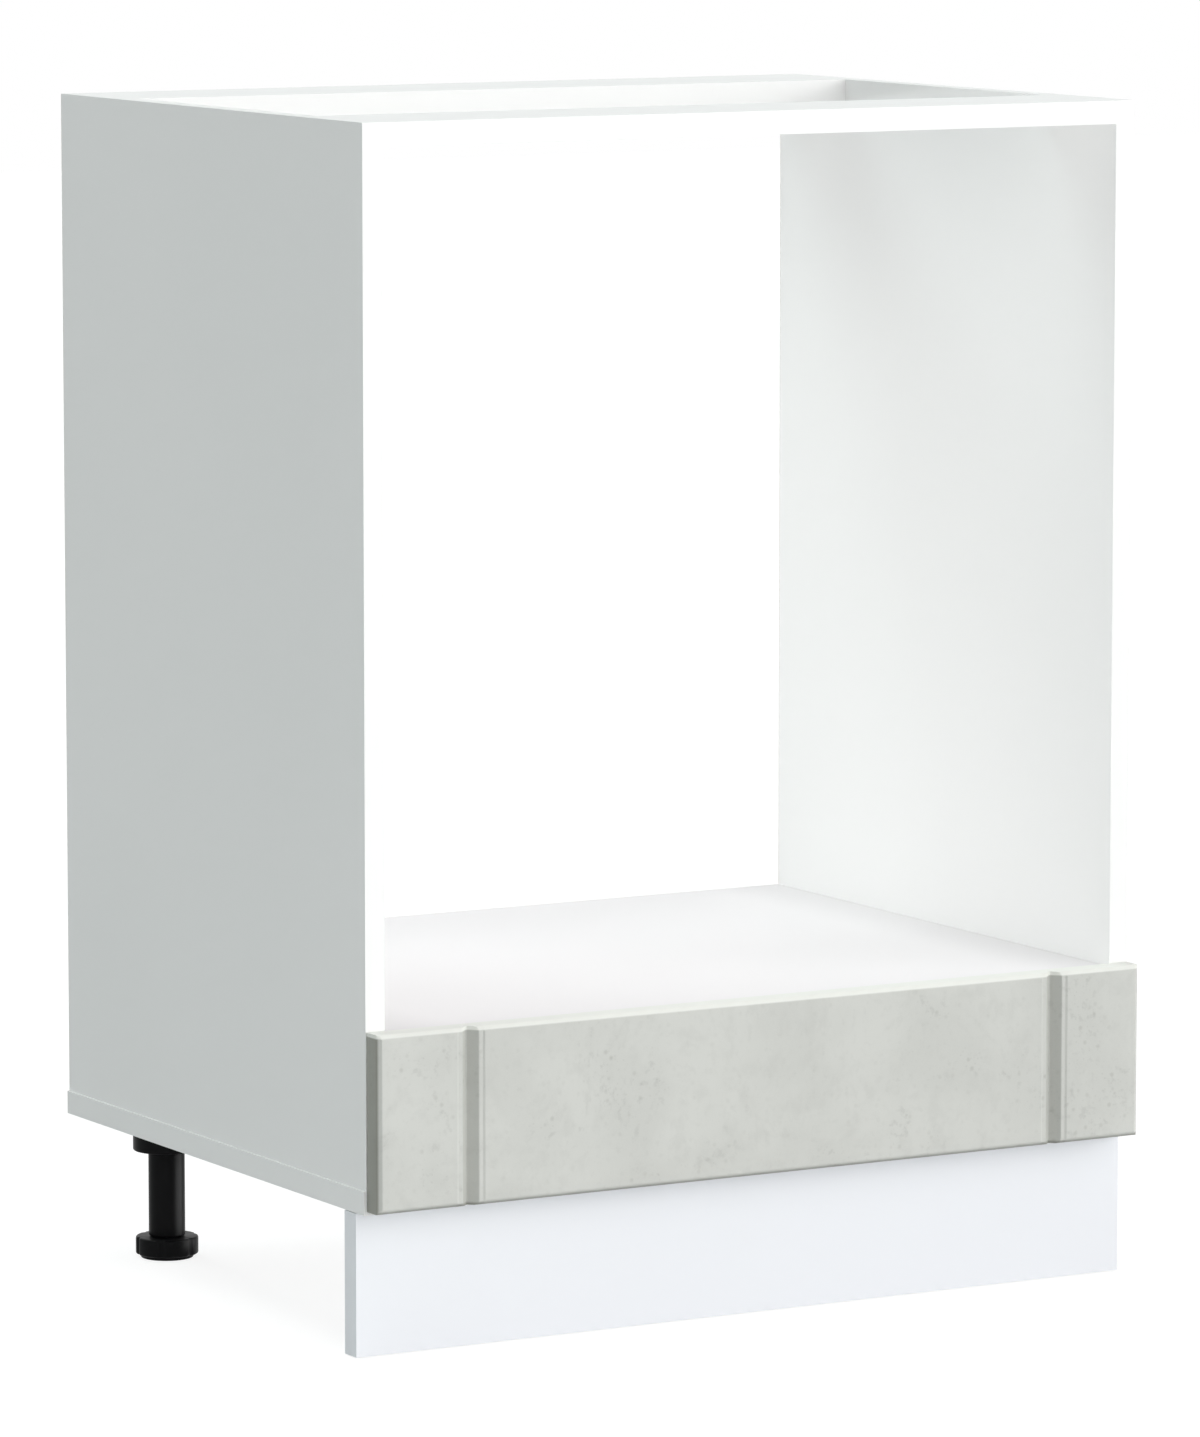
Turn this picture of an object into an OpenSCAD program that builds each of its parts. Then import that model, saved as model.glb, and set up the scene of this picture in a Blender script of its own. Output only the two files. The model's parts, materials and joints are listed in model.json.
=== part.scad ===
// Oven base cabinet: an open niche for a built-in oven above a shallow drawer,
// on four levelling legs behind a clip-on plinth. Millimetres, Z up, front towards -Y.
// The origin is on the floor, under the middle of the cabinet.

/* [Cabinet] */
// Overall width
cabinet_w = 600; // [500:10:900]
// Overall depth, from the face of the drawer front to the rear edge
cabinet_d = 460; // [440:5:600]
// Overall height, from the floor to the top edge
cabinet_h = 815; // [800:5:880]
// Height of the bottom panel above the floor
leg_h = 98; // [95:1:110]
// Rise of the drawer front's top edge above the oven shelf
front_rise = 2; // [1:0.5:4]

/* [Boards] */
// Thickness of the carcass boards
board_t = 16; // [15:0.5:18]
// Width of the two flat top rails
rail_w = 90; // [80:1:120]
// Distance between the two worktop screw holes of a rail
worktop_hole_pitch = 400; // [200:10:440]
// Radius of the worktop screw holes
worktop_hole_r = 2; // [1.5:0.25:3]
// Depth of the worktop screw holes, from the underside of the rail
worktop_hole_depth = 12; // [8:1:13]

/* [Drawer front] */
// Height of the drawer front, which leaves 595 mm above it for the face of an oven
front_h = 119.5; // [110:0.5:180]
// Thickness of the drawer front
front_t = 16; // [16:1:19]
// Inset of the drawer front from each side of the cabinet
front_inset = 2; // [1:0.5:3]
// Drop of the drawer front over the bottom panel, up from its underside
front_foot = 2.5; // [1:0.5:6]
// Gap between the drawer front and the carcass
front_gap = 0.5; // [0.5:0.1:2]
// Radius of the rounded edges of the face
front_edge_r = 4; // [2:0.5:6]
// Distance from an end of the front to the middle of its groove
groove_inset = 69.5; // [50:0.5:90]
// Width of a groove at the face
groove_w = 21; // [19:0.5:26]
// Depth of the groove's shallow outer steps
groove_step = 1; // [0.5:0.25:1.5]
// Half width, and so depth, of the groove's right-angled middle
groove_v = 5.5; // [4:0.25:6]
// Width of the flat at the bottom of the groove
groove_flat = 0.8; // [0.4:0.2:1.5]

/* [Drawer] */
// Thickness of the drawer's sides, inner front and back
drawer_t = 12; // [12:1:15]
// Thickness of the drawer's bottom sheet
sheet_t = 3; // [3:0.5:4]
// Height of the bottom sheet above the lower edge of the drawer sides
sheet_rise = 11; // [11:0.5:15]
// Depth of the grooves that hold the bottom sheet
sheet_groove = 5; // [4:0.5:6]
// Free height between the drawer sides and the oven shelf
drawer_top_gap = 12.8; // [8:0.2:20]
// How far the drawer pulls out
drawer_travel = 300; // [200:10:300]

/* [Runners] */
// Length of the runners and of the drawer
runner_l = 400; // [380:5:400]
// Thickness of the runners' sheet steel
runner_t = 1.2; // [1:0.1:1.5]
// Side room that a runner takes between the cabinet and the drawer
runner_room = 12.5; // [12.5:0.1:13]
// Height of the runners above the bottom panel
runner_lift = 6; // [4:0.5:8]
// Setback of a cabinet member from the front edge of the carcass
runner_setback = 2.5; // [1:0.5:5]
// Radius of the rollers
roller_r = 8; // [7.5:0.25:8.5]
// Width of the rollers
roller_w = 5.8; // [5:0.1:6]
// Radius of the pins that the rollers turn on
pin_r = 2.5; // [2:0.25:3]
// Distance from a runner's end to the middle of its roller
roller_inset = 14; // [12:1:20]

/* [Legs] */
// Distance from the side of the cabinet to the middle of a leg
leg_side_inset = 50; // [45:1:80]
// Distance from the carcass front to the middle of a front leg
leg_front_inset = 60; // [60:1:90]
// Distance from the rear edge to the middle of a rear leg
leg_rear_inset = 55; // [45:1:90]
// Outer radius of the mounting sockets
socket_r = 23.5; // [20:0.5:25]
// Height of the mounting sockets
socket_h = 21.5; // [18:0.5:24]
// Outer radius of the leg tubes
tube_r = 12.8; // [11:0.2:13]
// Wall of the leg tubes
tube_wall = 2.4; // [2:0.2:3]
// Radius of the lobed feet
foot_r = 22; // [20:0.5:25]
// Height of the lobed feet
foot_h = 15; // [11:1:16]
// How far a foot screws out
foot_travel = 20; // [10:1:20]

/* [Plinth] */
// Thickness of the plinth board
plinth_t = 16; // [12:1:18]
// Setback of the plinth's face from the face of the drawer front
plinth_setback = 28; // [24:1:30]
// Gap under the plinth board
plinth_floor_gap = 1; // [0.5:0.5:2]

/* [Hidden] */
$fn = 64;

// Colours
board_white = "#f4f4f3";
concrete = "#cfcfca";
hardware_black = "#26272a";
steel = "#c9ccd0";
zinc = "#b4b8bd";
epoxy_white = "#ebebe8";
roller_white = "#e9e7df";
beech = "#d8b98a";
hardboard = "#efeeea";

// Clearances: a screw or pin in its own bore, a roller on its pin, a sliding fit, a cut past a face
fit_gap = 0.05;
pin_gap = 0.06;
slide_gap = 0.3;
past = 1;

// Main planes
LEFT = -1;
RIGHT = 1;
outer_x = cabinet_w / 2;
inner_x = outer_x - board_t;
face_y = -cabinet_d / 2;
rear_y = cabinet_d / 2;
carcass_y = face_y + front_t + front_gap;
bottom_z = leg_h + board_t;
front_low_z = leg_h + front_foot;
front_top_z = front_low_z + front_h;
shelf_z = front_top_z - front_rise;
shelf_under_z = shelf_z - board_t;
rail_under_z = cabinet_h - board_t;

// Carcass fittings: a cam lock turned in a pocket near the end of one board draws in a bolt
// that is screwed into the face of the other board, and a dowel beside it sets the place
cam_r = 7.5;
cam_h = 12;
cam_pocket = 12.5;
cam_back = 24;
side_cam_back = 34;
cam_cross = [8, 1.4, 1.5];
bolt_thread_r = 2.5;
bolt_thread_l = 10;
bolt_shank_r = 2.8;
bolt_head_r = 3.5;
bolt_head_l = 3;
bolt_collar_r = 3.9;
bolt_collar_l = 2;
bolt_bore_r = 4;
dowel_r = 4;
dowel_l = 30;
dowel_face_depth = 11;
dowel_end_gap = 0.5;
dowel_chamfer = 1;
wide_cam_inset = 60;
wide_dowel_inset = 92;
rail_cam_inset = 30;
rail_dowel_inset = 62;
wide_cam_ys = [carcass_y + wide_cam_inset, rear_y - wide_cam_inset];
wide_dowel_ys = [carcass_y + wide_dowel_inset, rear_y - wide_dowel_inset];
rail_cam_ys = [carcass_y + rail_cam_inset, rear_y - rail_cam_inset];
rail_dowel_ys = [carcass_y + rail_dowel_inset, rear_y - rail_dowel_inset];

// Each joint: the point where the boards meet, the turn of the joint about Y, and the cam's distance
shelf_joints = [for (y = wide_cam_ys) [[inner_x, y, shelf_under_z], 0, cam_back]];
rail_joints = [for (y = rail_cam_ys) [[inner_x, y, rail_under_z], 0, cam_back]];
foot_joints = [for (y = wide_cam_ys) [[inner_x, y, bottom_z], 90, side_cam_back]];
shelf_dowels = [for (y = wide_dowel_ys) [[inner_x, y, shelf_under_z], 0]];
rail_dowels = [for (y = rail_dowel_ys) [[inner_x, y, rail_under_z], 0]];
foot_dowels = [for (y = wide_dowel_ys) [[inner_x, y, bottom_z], 90]];

// Runners, in a local frame: x from the side panel towards the drawer, y back from the
// carcass front, z up from the lower edge of the runners
runner_z = bottom_z + runner_lift;
channel_gap = 0.7;
channel_d = runner_room - runner_t - channel_gap;
roller_lift = 0.2;
rear_roller_z = runner_t + roller_lift + roller_r;
channel_h = rear_roller_z + roller_r + slide_gap + runner_t;
track_gap = 2.5;
track_z = channel_h + track_gap;
front_roller_z = track_z - roller_lift - roller_r;
track_lip = 2.4;
track_x = 2.2;
web_x = runner_room - runner_t;
front_roller_x = 2;
rear_roller_gap = 1.1;
rear_roller_x = web_x - rear_roller_gap - roller_w;
roller_rim = 1;
roller_notch = 3;
pin_head_r = 4;
pin_head_t = 0.8;
pin_shoulder_r = 3.6;
front_roller_y = runner_setback + roller_inset;
drawer_y = -front_gap;
rear_roller_y = drawer_y + runner_l - roller_inset;
stop_gap = 0.5;
stop_y = rear_roller_y - drawer_travel - roller_r - stop_gap;
stop_size = [roller_w, 2, 2.5];
runner_hole_ys = [37, 165, 293];
screw_head_t = 1.6;
cabinet_screw_r = 2.5;
cabinet_screw_head_r = 4;
cabinet_screw_l = 10;
drawer_screw_r = 1.75;
drawer_screw_head_r = 3;
drawer_screw_l = 9;

// Drawer
drawer_half = inner_x - runner_room;
drawer_in = drawer_half - drawer_t;
drawer_front_y = carcass_y + drawer_y;
drawer_rear_y = drawer_front_y + runner_l;
drawer_z = runner_z + runner_t;
drawer_top_z = shelf_under_z - drawer_top_gap;
sheet_z = drawer_z + sheet_rise;
corner_screw_r = 2;
corner_screw_head_r = 3.5;
corner_screw_head_t = 2.5;
corner_screw_l = 38;
corner_screw_low = 32;
corner_screw_high = 12;
corner_screw_zs = [drawer_z + corner_screw_low, drawer_top_z - corner_screw_high];
fixing_screw_r = 2;
fixing_screw_head_r = 4;
fixing_screw_head_t = 2.2;
fixing_screw_bite = 9;
fixing_screw_x = 100;
fixing_screw_low = 26;
fixing_screw_high = 16;
fixing_screw_zs = [drawer_z + fixing_screw_low, drawer_top_z - fixing_screw_high];
sheet_screw_r = 1.5;
sheet_screw_head_r = 3;
sheet_screw_head_t = 1.2;
sheet_screw_l = 16;
sheet_screw_inset = 80;
sheet_screw_xs = [-1, 0, 1] * (drawer_in - sheet_screw_inset);

// Legs
leg_x = outer_x - leg_side_inset;
leg_front_y = carcass_y + leg_front_inset;
leg_rear_y = rear_y - leg_rear_inset;
leg_spots = [[-leg_x, leg_front_y], [leg_x, leg_front_y], [-leg_x, leg_rear_y], [leg_x, leg_rear_y]];
socket_roof = 3;
socket_chamfer = 1;
tube_fit = 0.1;
tube_chamfer = 1;
stem_gap = 0.1;
stem_l = 36;
foot_base_step = 3.5;
foot_base_r = foot_r - foot_base_step;
foot_base_h = 2.5;
foot_lobes = 6;
foot_notch_r = 2.6;
foot_notch_turn = -6.3;
foot_chamfer = 1;
leg_screw_count = 3;
leg_screw_ring = (socket_r + tube_r) / 2;
leg_screw_r = 1.75;
leg_screw_head_r = 3.2;
leg_screw_head_t = 2.4;
leg_screw_recess = 4;
leg_screw_bite = 11;

// Plinth
plinth_y = face_y + plinth_setback;
plinth_rear_y = plinth_y + plinth_t;
plinth_top_gap = 0.5;
clip_h = 24;
clip_socket_gap = 0.5;
clip_z = leg_h - socket_h - clip_h - clip_socket_gap;
clip_wall = 2.4;
clip_arm = 6;
clip_plate = [42, 3, 30];
clip_neck_w = 14;
clip_screw_x = 15;
clip_screw_r = 1.5;
clip_screw_head_r = 3;
clip_screw_head_t = 1.6;
clip_screw_l = 10;
clip_in_r = tube_r + slide_gap;

// Placing

module at_side(s) {
    if (s < 0)
        mirror([1, 0, 0]) children();
    else
        children();
}

module both_sides() {
    children();
    mirror([1, 0, 0]) children();
}

module block(from, to) {
    translate(from) cube(to - from);
}

module along_x(x0, x1, r) {
    translate([x0, 0, 0]) rotate([0, 90, 0]) cylinder(r = r, h = x1 - x0);
}

module along_y(y0, y1, r) {
    translate([0, y1, 0]) rotate([90, 0, 0]) cylinder(r = r, h = y1 - y0);
}

module along_z(z0, z1, r) {
    translate([0, 0, z0]) cylinder(r = r, h = z1 - z0);
}

// Carries an upright profile, drawn in x and z, back along y
module run_y(y0, y1) {
    translate([0, y1, 0]) rotate([90, 0, 0]) linear_extrude(height = y1 - y0) children();
}

module at_joint(j) {
    translate(j[0]) rotate([0, j[1], 0]) children();
}

// Carcass fittings, drawn with the joint at x = 0 and the cam's open face at z = 0

module end_bores(back) {
    translate([-back, 0, 0]) along_z(-past, cam_pocket, cam_r);
    translate([0, 0, board_t / 2]) along_x(-back, past, bolt_bore_r);
}

module face_bore() {
    translate([0, 0, board_t / 2]) along_x(-past, bolt_thread_l + fit_gap, bolt_thread_r + fit_gap);
}

module end_dowel_bore() {
    translate([0, 0, board_t / 2])
        along_x(dowel_face_depth - dowel_l - dowel_end_gap, past, dowel_r + fit_gap);
}

module face_dowel_bore() {
    translate([0, 0, board_t / 2])
        along_x(-past, dowel_face_depth + dowel_end_gap, dowel_r + fit_gap);
}

module cam_lock(back) {
    slot = bolt_head_r + fit_gap;
    translate([-back, 0, 0])
        difference() {
            along_z(0, cam_h, cam_r - fit_gap);
            block([-bolt_head_l / 2 - fit_gap, -slot, board_t / 2 - slot], [cam_r + past, slot, cam_h + past]);
            for (turn = [0, 90])
                rotate([0, 0, turn + 45])
                    block([-cam_cross[0] / 2, -cam_cross[1] / 2, -past], [cam_cross[0] / 2, cam_cross[1] / 2, cam_cross[2]]);
        }
}

module cam_bolt(back) {
    translate([0, 0, board_t / 2]) {
        along_x(-fit_gap, bolt_thread_l, bolt_thread_r);
        along_x(-bolt_collar_l, 0, bolt_collar_r);
        along_x(-back, -bolt_collar_l, bolt_shank_r);
        along_x(-back - bolt_head_l / 2, -back + bolt_head_l / 2, bolt_head_r);
    }
}

module dowel() {
    translate([dowel_face_depth, 0, board_t / 2])
        rotate([0, -90, 0]) {
            cylinder(r1 = dowel_r - dowel_chamfer, r2 = dowel_r, h = dowel_chamfer);
            along_z(dowel_chamfer, dowel_l - dowel_chamfer, dowel_r);
            translate([0, 0, dowel_l - dowel_chamfer])
                cylinder(r1 = dowel_r, r2 = dowel_r - dowel_chamfer, h = dowel_chamfer);
        }
}

// Carcass

module side_panel(s) {
    color(board_white)
        at_side(s)
            difference() {
                block([inner_x, carcass_y, bottom_z], [outer_x, rear_y, cabinet_h]);
                for (j = concat(shelf_joints, rail_joints))
                    at_joint(j) face_bore();
                for (j = concat(shelf_dowels, rail_dowels))
                    at_joint(j) face_dowel_bore();
                for (j = foot_joints)
                    at_joint(j) end_bores(j[2]);
                for (j = foot_dowels)
                    at_joint(j) end_dowel_bore();
                runner_place()
                    for (y = runner_hole_ys)
                        translate([0, y, rear_roller_z])
                            along_x(runner_t - cabinet_screw_l - fit_gap, past, cabinet_screw_r + fit_gap);
            }
}

module bottom_panel() {
    color(board_white)
        difference() {
            block([-outer_x, carcass_y, leg_h], [outer_x, rear_y, bottom_z]);
            both_sides() {
                for (j = foot_joints)
                    at_joint(j) face_bore();
                for (j = foot_dowels)
                    at_joint(j) face_dowel_bore();
            }
            for (spot = leg_spots)
                at_leg_screws(spot)
                    along_z(leg_h - past, leg_h + leg_screw_bite + fit_gap, leg_screw_r + fit_gap);
        }
}

module oven_shelf() {
    color(board_white)
        difference() {
            block([-inner_x, carcass_y, shelf_under_z], [inner_x, rear_y, shelf_z]);
            both_sides() {
                for (j = shelf_joints)
                    at_joint(j) end_bores(j[2]);
                for (j = shelf_dowels)
                    at_joint(j) end_dowel_bore();
            }
        }
}

module top_rail(end) {
    y0 = end == 0 ? carcass_y : rear_y - rail_w;
    color(board_white)
        difference() {
            block([-inner_x, y0, rail_under_z], [inner_x, y0 + rail_w, cabinet_h]);
            both_sides() {
                at_joint(rail_joints[end]) end_bores(cam_back);
                at_joint(rail_dowels[end]) end_dowel_bore();
                translate([worktop_hole_pitch / 2, y0 + rail_w / 2, rail_under_z])
                    along_z(-past, worktop_hole_depth, worktop_hole_r);
            }
        }
}

module cam_locks() {
    color(zinc)
        both_sides()
            for (j = concat(shelf_joints, rail_joints, foot_joints))
                at_joint(j) cam_lock(j[2]);
}

module cam_bolts() {
    color(steel)
        both_sides()
            for (j = concat(shelf_joints, rail_joints, foot_joints))
                at_joint(j) cam_bolt(j[2]);
}

module carcass_dowels() {
    color(beech)
        both_sides()
            for (j = concat(shelf_dowels, rail_dowels, foot_dowels))
                at_joint(j) dowel();
}

// Legs

module at_leg_screws(spot) {
    for (i = [0 : leg_screw_count - 1])
        translate(spot)
            rotate([0, 0, 90 + i * 360 / leg_screw_count])
                translate([leg_screw_ring, 0, 0]) children();
}

module leg_socket(spot) {
    color(hardware_black)
        difference() {
            translate(spot) {
                along_z(leg_h - socket_h + socket_chamfer, leg_h, socket_r);
                translate([0, 0, leg_h - socket_h])
                    cylinder(r1 = socket_r - socket_chamfer, r2 = socket_r, h = socket_chamfer);
            }
            translate(spot)
                along_z(leg_h - socket_h - past, leg_h - socket_roof, tube_r + tube_fit);
            at_leg_screws(spot) {
                along_z(leg_h - socket_h - past, leg_h - socket_h + leg_screw_recess, leg_screw_head_r + fit_gap);
                along_z(leg_h - socket_h, leg_h + past, leg_screw_r + fit_gap);
            }
        }
}

module leg_tube(spot) {
    low = foot_h + slide_gap;
    high = leg_h - socket_roof - tube_fit;
    color(hardware_black)
        translate(spot)
            difference() {
                union() {
                    along_z(low + tube_chamfer, high, tube_r);
                    translate([0, 0, low])
                        cylinder(r1 = tube_r - tube_chamfer, r2 = tube_r, h = tube_chamfer);
                }
                along_z(low - past, high - tube_wall, tube_r - tube_wall);
            }
}

module leg_screws() {
    base = leg_h - socket_h + leg_screw_recess;
    color(steel)
        for (spot = leg_spots)
            at_leg_screws(spot) {
                along_z(base - leg_screw_head_t, base, leg_screw_head_r);
                along_z(base, leg_h + leg_screw_bite, leg_screw_r);
            }
}

// The knob of a foot is a revolved disc with finger notches cut round its rim
module leg_foot(spot) {
    color(hardware_black)
        translate(spot) {
            difference() {
                union() {
                    along_z(foot_base_h + foot_chamfer, foot_h - foot_chamfer, foot_r);
                    translate([0, 0, foot_base_h])
                        cylinder(r1 = foot_r - foot_chamfer, r2 = foot_r, h = foot_chamfer);
                    translate([0, 0, foot_h - foot_chamfer])
                        cylinder(r1 = foot_r, r2 = foot_r - foot_chamfer, h = foot_chamfer);
                }
                for (i = [0 : foot_lobes - 1])
                    rotate([0, 0, foot_notch_turn + i * 360 / foot_lobes])
                        translate([foot_r + foot_notch_r / 2, 0, 0])
                            along_z(foot_base_h - past, foot_h + past, foot_notch_r);
            }
            along_z(0, foot_base_h, foot_base_r);
            along_z(foot_h, foot_h + stem_l, tube_r - tube_wall - stem_gap);
        }
}

// Runners

module runner_place() {
    translate([inner_x, carcass_y, runner_z]) mirror([1, 0, 0]) children();
}

// Rolled steel channel, open towards the drawer: web, lower track and upper track
module channel_section() {
    t = runner_t;
    translate([0, t]) square([t, channel_h - 2 * t]);
    translate([t, 0]) square([channel_d - t, t]);
    translate([t, channel_h - t]) square([channel_d - t, t]);
    translate([t, t]) circle(t);
    translate([t, channel_h - t]) circle(t);
}

// Rolled steel hook: a shelf under the drawer side, a web beside it, and a track over the rollers
module hook_section() {
    t = runner_t;
    translate([web_x, t]) square([t, track_z - t]);
    translate([runner_room, 0]) square([drawer_t, t]);
    translate([track_x + t, track_z]) square([web_x - track_x - t, t]);
    translate([track_x, track_z + t]) square([t, track_lip - t]);
    translate([runner_room, t])
        intersection() {
            circle(t);
            translate([-t, -t]) square(t);
        }
    translate([web_x, track_z]) intersection() {
        circle(t);
        square(t);
    }
    translate([track_x + t, track_z + t]) intersection() {
        circle(t);
        translate([-t, -t]) square(t);
    }
}

module cabinet_runner(s) {
    color(epoxy_white)
        at_side(s) runner_place() {
            difference() {
                run_y(runner_setback, runner_setback + runner_l) channel_section();
                block(
                    [runner_t, runner_setback - past, channel_h - 2 * runner_t],
                    [channel_d + past, front_roller_y + roller_r + roller_notch, channel_h + past]
                );
                for (y = runner_hole_ys)
                    translate([0, y, rear_roller_z]) along_x(-past, runner_t + past, cabinet_screw_r + fit_gap);
                translate([0, front_roller_y, front_roller_z]) along_x(-past, runner_t + past, pin_r + fit_gap);
            }
            translate([rear_roller_x, stop_y - stop_size[1], channel_h - runner_t - stop_size[2]])
                cube(stop_size + [0, 0, runner_t / 2]);
        }
}

module drawer_runner(s) {
    color(epoxy_white)
        at_side(s) runner_place()
            difference() {
                run_y(drawer_y, drawer_y + runner_l) hook_section();
                for (y = runner_hole_ys)
                    translate([web_x, drawer_y + y, rear_roller_z]) along_x(-past, runner_t + past, drawer_screw_r + fit_gap);
                translate([web_x, rear_roller_y, rear_roller_z]) along_x(-past, runner_t + past, pin_r + fit_gap);
            }
}

module roller() {
    color(roller_white)
        rotate([0, 90, 0])
            difference() {
                rotate_extrude() {
                    square([roller_r - roller_rim, roller_w]);
                    translate([0, roller_rim]) square([roller_r, roller_w - 2 * roller_rim]);
                    for (z = [roller_rim, roller_w - roller_rim])
                        translate([roller_r - roller_rim, z]) circle(roller_rim);
                }
                along_z(-past, roller_w + past, pin_r + pin_gap);
            }
}

module front_roller(s) {
    at_side(s) runner_place()
        translate([front_roller_x, front_roller_y, front_roller_z]) roller();
}

module rear_roller(s) {
    at_side(s) runner_place()
        translate([rear_roller_x, rear_roller_y, rear_roller_z]) roller();
}

module front_roller_pins() {
    far = front_roller_x + roller_w;
    color(zinc)
        both_sides() runner_place()
            translate([0, front_roller_y, front_roller_z]) {
                along_x(0, far + pin_gap, pin_r);
                along_x(runner_t, front_roller_x - pin_gap, pin_shoulder_r);
                along_x(far + pin_gap, far + pin_gap + pin_head_t, pin_head_r);
            }
}

module rear_roller_pins() {
    color(zinc)
        both_sides() runner_place()
            translate([0, rear_roller_y, rear_roller_z]) {
                along_x(rear_roller_x - pin_gap, runner_room, pin_r);
                along_x(rear_roller_x + roller_w + pin_gap, web_x, pin_shoulder_r);
                along_x(rear_roller_x - pin_gap - pin_head_t, rear_roller_x - pin_gap, pin_head_r);
            }
}

module cabinet_runner_screws() {
    color(steel)
        both_sides() runner_place()
            for (y = runner_hole_ys)
                translate([0, y, rear_roller_z]) {
                    along_x(runner_t - cabinet_screw_l, runner_t, cabinet_screw_r);
                    along_x(runner_t, runner_t + screw_head_t, cabinet_screw_head_r);
                }
}

module drawer_runner_screws() {
    color(steel)
        both_sides() runner_place()
            for (y = runner_hole_ys)
                translate([web_x, drawer_y + y, rear_roller_z]) {
                    along_x(-screw_head_t, 0, drawer_screw_head_r);
                    along_x(0, runner_t + drawer_screw_l, drawer_screw_r);
                }
}

// Drawer

// A board's plan or end view: square at the back, with the two face corners rounded
module rounded_face_section(w) {
    r = front_edge_r;
    translate([0, r]) square([w, front_t - r]);
    translate([r, 0]) square([w - 2 * r, front_t]);
    for (x = [r, w - r])
        translate([x, r]) circle(r);
}

// Half of the groove's section, cut from the face at y = 0 and mirrored about x = 0
module groove_section() {
    half = groove_w / 2;
    v = groove_v + groove_flat / 2;
    polygon([
        [-half, -past], [-half, 0], [-half + groove_step, groove_step], [-v, groove_step],
        [-groove_flat / 2, groove_step + groove_v], [groove_flat / 2, groove_step + groove_v],
        [v, groove_step], [half - groove_step, groove_step], [half, 0], [half, -past]
    ]);
}

// The face edges are rounded all round by crossing two rounded extrusions, and two upright
// grooves with stepped lips run out through the top and bottom edges
module drawer_front() {
    w = cabinet_w - 2 * front_inset;
    color(concrete)
        difference() {
            intersection() {
                translate([-w / 2, face_y, front_low_z])
                    linear_extrude(height = front_h) rounded_face_section(w);
                translate([-w / 2, face_y, front_top_z])
                    rotate([0, 90, 0])
                        linear_extrude(height = w) rounded_face_section(front_h);
            }
            both_sides()
                translate([w / 2 - groove_inset, face_y, front_low_z - past])
                    linear_extrude(height = front_h + 2 * past) groove_section();
            fixing_screws_at()
                along_y(-fixing_screw_bite - fit_gap, past, fixing_screw_r + fit_gap);
        }
}

module fixing_screws_at() {
    both_sides()
        for (z = fixing_screw_zs)
            translate([fixing_screw_x, drawer_front_y, z]) children();
}

module corner_screws_at() {
    both_sides()
        for (y = [drawer_front_y + drawer_t / 2, drawer_rear_y - drawer_t / 2], z = corner_screw_zs)
            translate([drawer_half, y, z]) children();
}

module corner_screw(grow) {
    along_x(-corner_screw_l - grow, -corner_screw_head_t, corner_screw_r + grow);
    along_x(-corner_screw_head_t - grow, 0, corner_screw_head_r + grow);
}

module sheet_groove_cut() {
    reach = drawer_in + sheet_groove;
    block(
        [-reach, drawer_front_y + drawer_t - sheet_groove, sheet_z - fit_gap],
        [reach, drawer_rear_y + past, sheet_z + sheet_t + fit_gap]
    );
}

module drawer_side(s) {
    color(board_white)
        difference() {
            at_side(s)
                block([drawer_in, drawer_front_y, drawer_z], [drawer_half, drawer_rear_y, drawer_top_z]);
            sheet_groove_cut();
            corner_screws_at() {
                corner_screw(fit_gap);
                along_x(-corner_screw_head_t, past, corner_screw_head_r + fit_gap);
            }
            both_sides() runner_place()
                for (y = runner_hole_ys)
                    translate([runner_room, drawer_y + y, rear_roller_z])
                        along_x(-past, drawer_screw_l + fit_gap, drawer_screw_r + fit_gap);
        }
}

module drawer_inner_front() {
    color(board_white)
        difference() {
            block([-drawer_in, drawer_front_y, drawer_z], [drawer_in, drawer_front_y + drawer_t, drawer_top_z]);
            sheet_groove_cut();
            corner_screws_at() corner_screw(fit_gap);
            fixing_screws_at() along_y(-past, drawer_t + past, fixing_screw_r + fit_gap);
        }
}

module drawer_back() {
    color(board_white)
        difference() {
            block(
                [-drawer_in, drawer_rear_y - drawer_t, sheet_z + sheet_t],
                [drawer_in, drawer_rear_y, drawer_top_z]
            );
            corner_screws_at() corner_screw(fit_gap);
            sheet_screws_at() along_z(-past, sheet_screw_l + fit_gap, sheet_screw_r + fit_gap);
        }
}

module drawer_bottom() {
    reach = drawer_in + sheet_groove - slide_gap;
    color(hardboard)
        difference() {
            block(
                [-reach, drawer_front_y + drawer_t - sheet_groove + slide_gap, sheet_z],
                [reach, drawer_rear_y, sheet_z + sheet_t]
            );
            sheet_screws_at() along_z(-past, sheet_t + past, sheet_screw_r + fit_gap);
        }
}

module sheet_screws_at() {
    for (x = sheet_screw_xs)
        translate([x, drawer_rear_y - drawer_t / 2, sheet_z]) children();
}

module front_fixing_screws() {
    color(steel)
        fixing_screws_at() {
            along_y(-fixing_screw_bite, drawer_t, fixing_screw_r);
            along_y(drawer_t, drawer_t + fixing_screw_head_t, fixing_screw_head_r);
        }
}

module drawer_box_screws() {
    color(steel) {
        corner_screws_at() corner_screw(0);
        sheet_screws_at() {
            along_z(0, sheet_screw_l, sheet_screw_r);
            along_z(-sheet_screw_head_t, 0, sheet_screw_head_r);
        }
    }
}

// Plinth

module plinth_panel() {
    color(board_white)
        difference() {
            block([-outer_x, plinth_y, plinth_floor_gap], [outer_x, plinth_rear_y, leg_h - plinth_top_gap]);
            clip_screws_at() along_y(-clip_screw_l - fit_gap, past, clip_screw_r + fit_gap);
        }
}

module clip_screws_at() {
    both_sides()
        for (x = [-clip_screw_x, clip_screw_x])
            translate([leg_x + x, plinth_rear_y, clip_z + clip_h / 2]) children();
}

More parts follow.
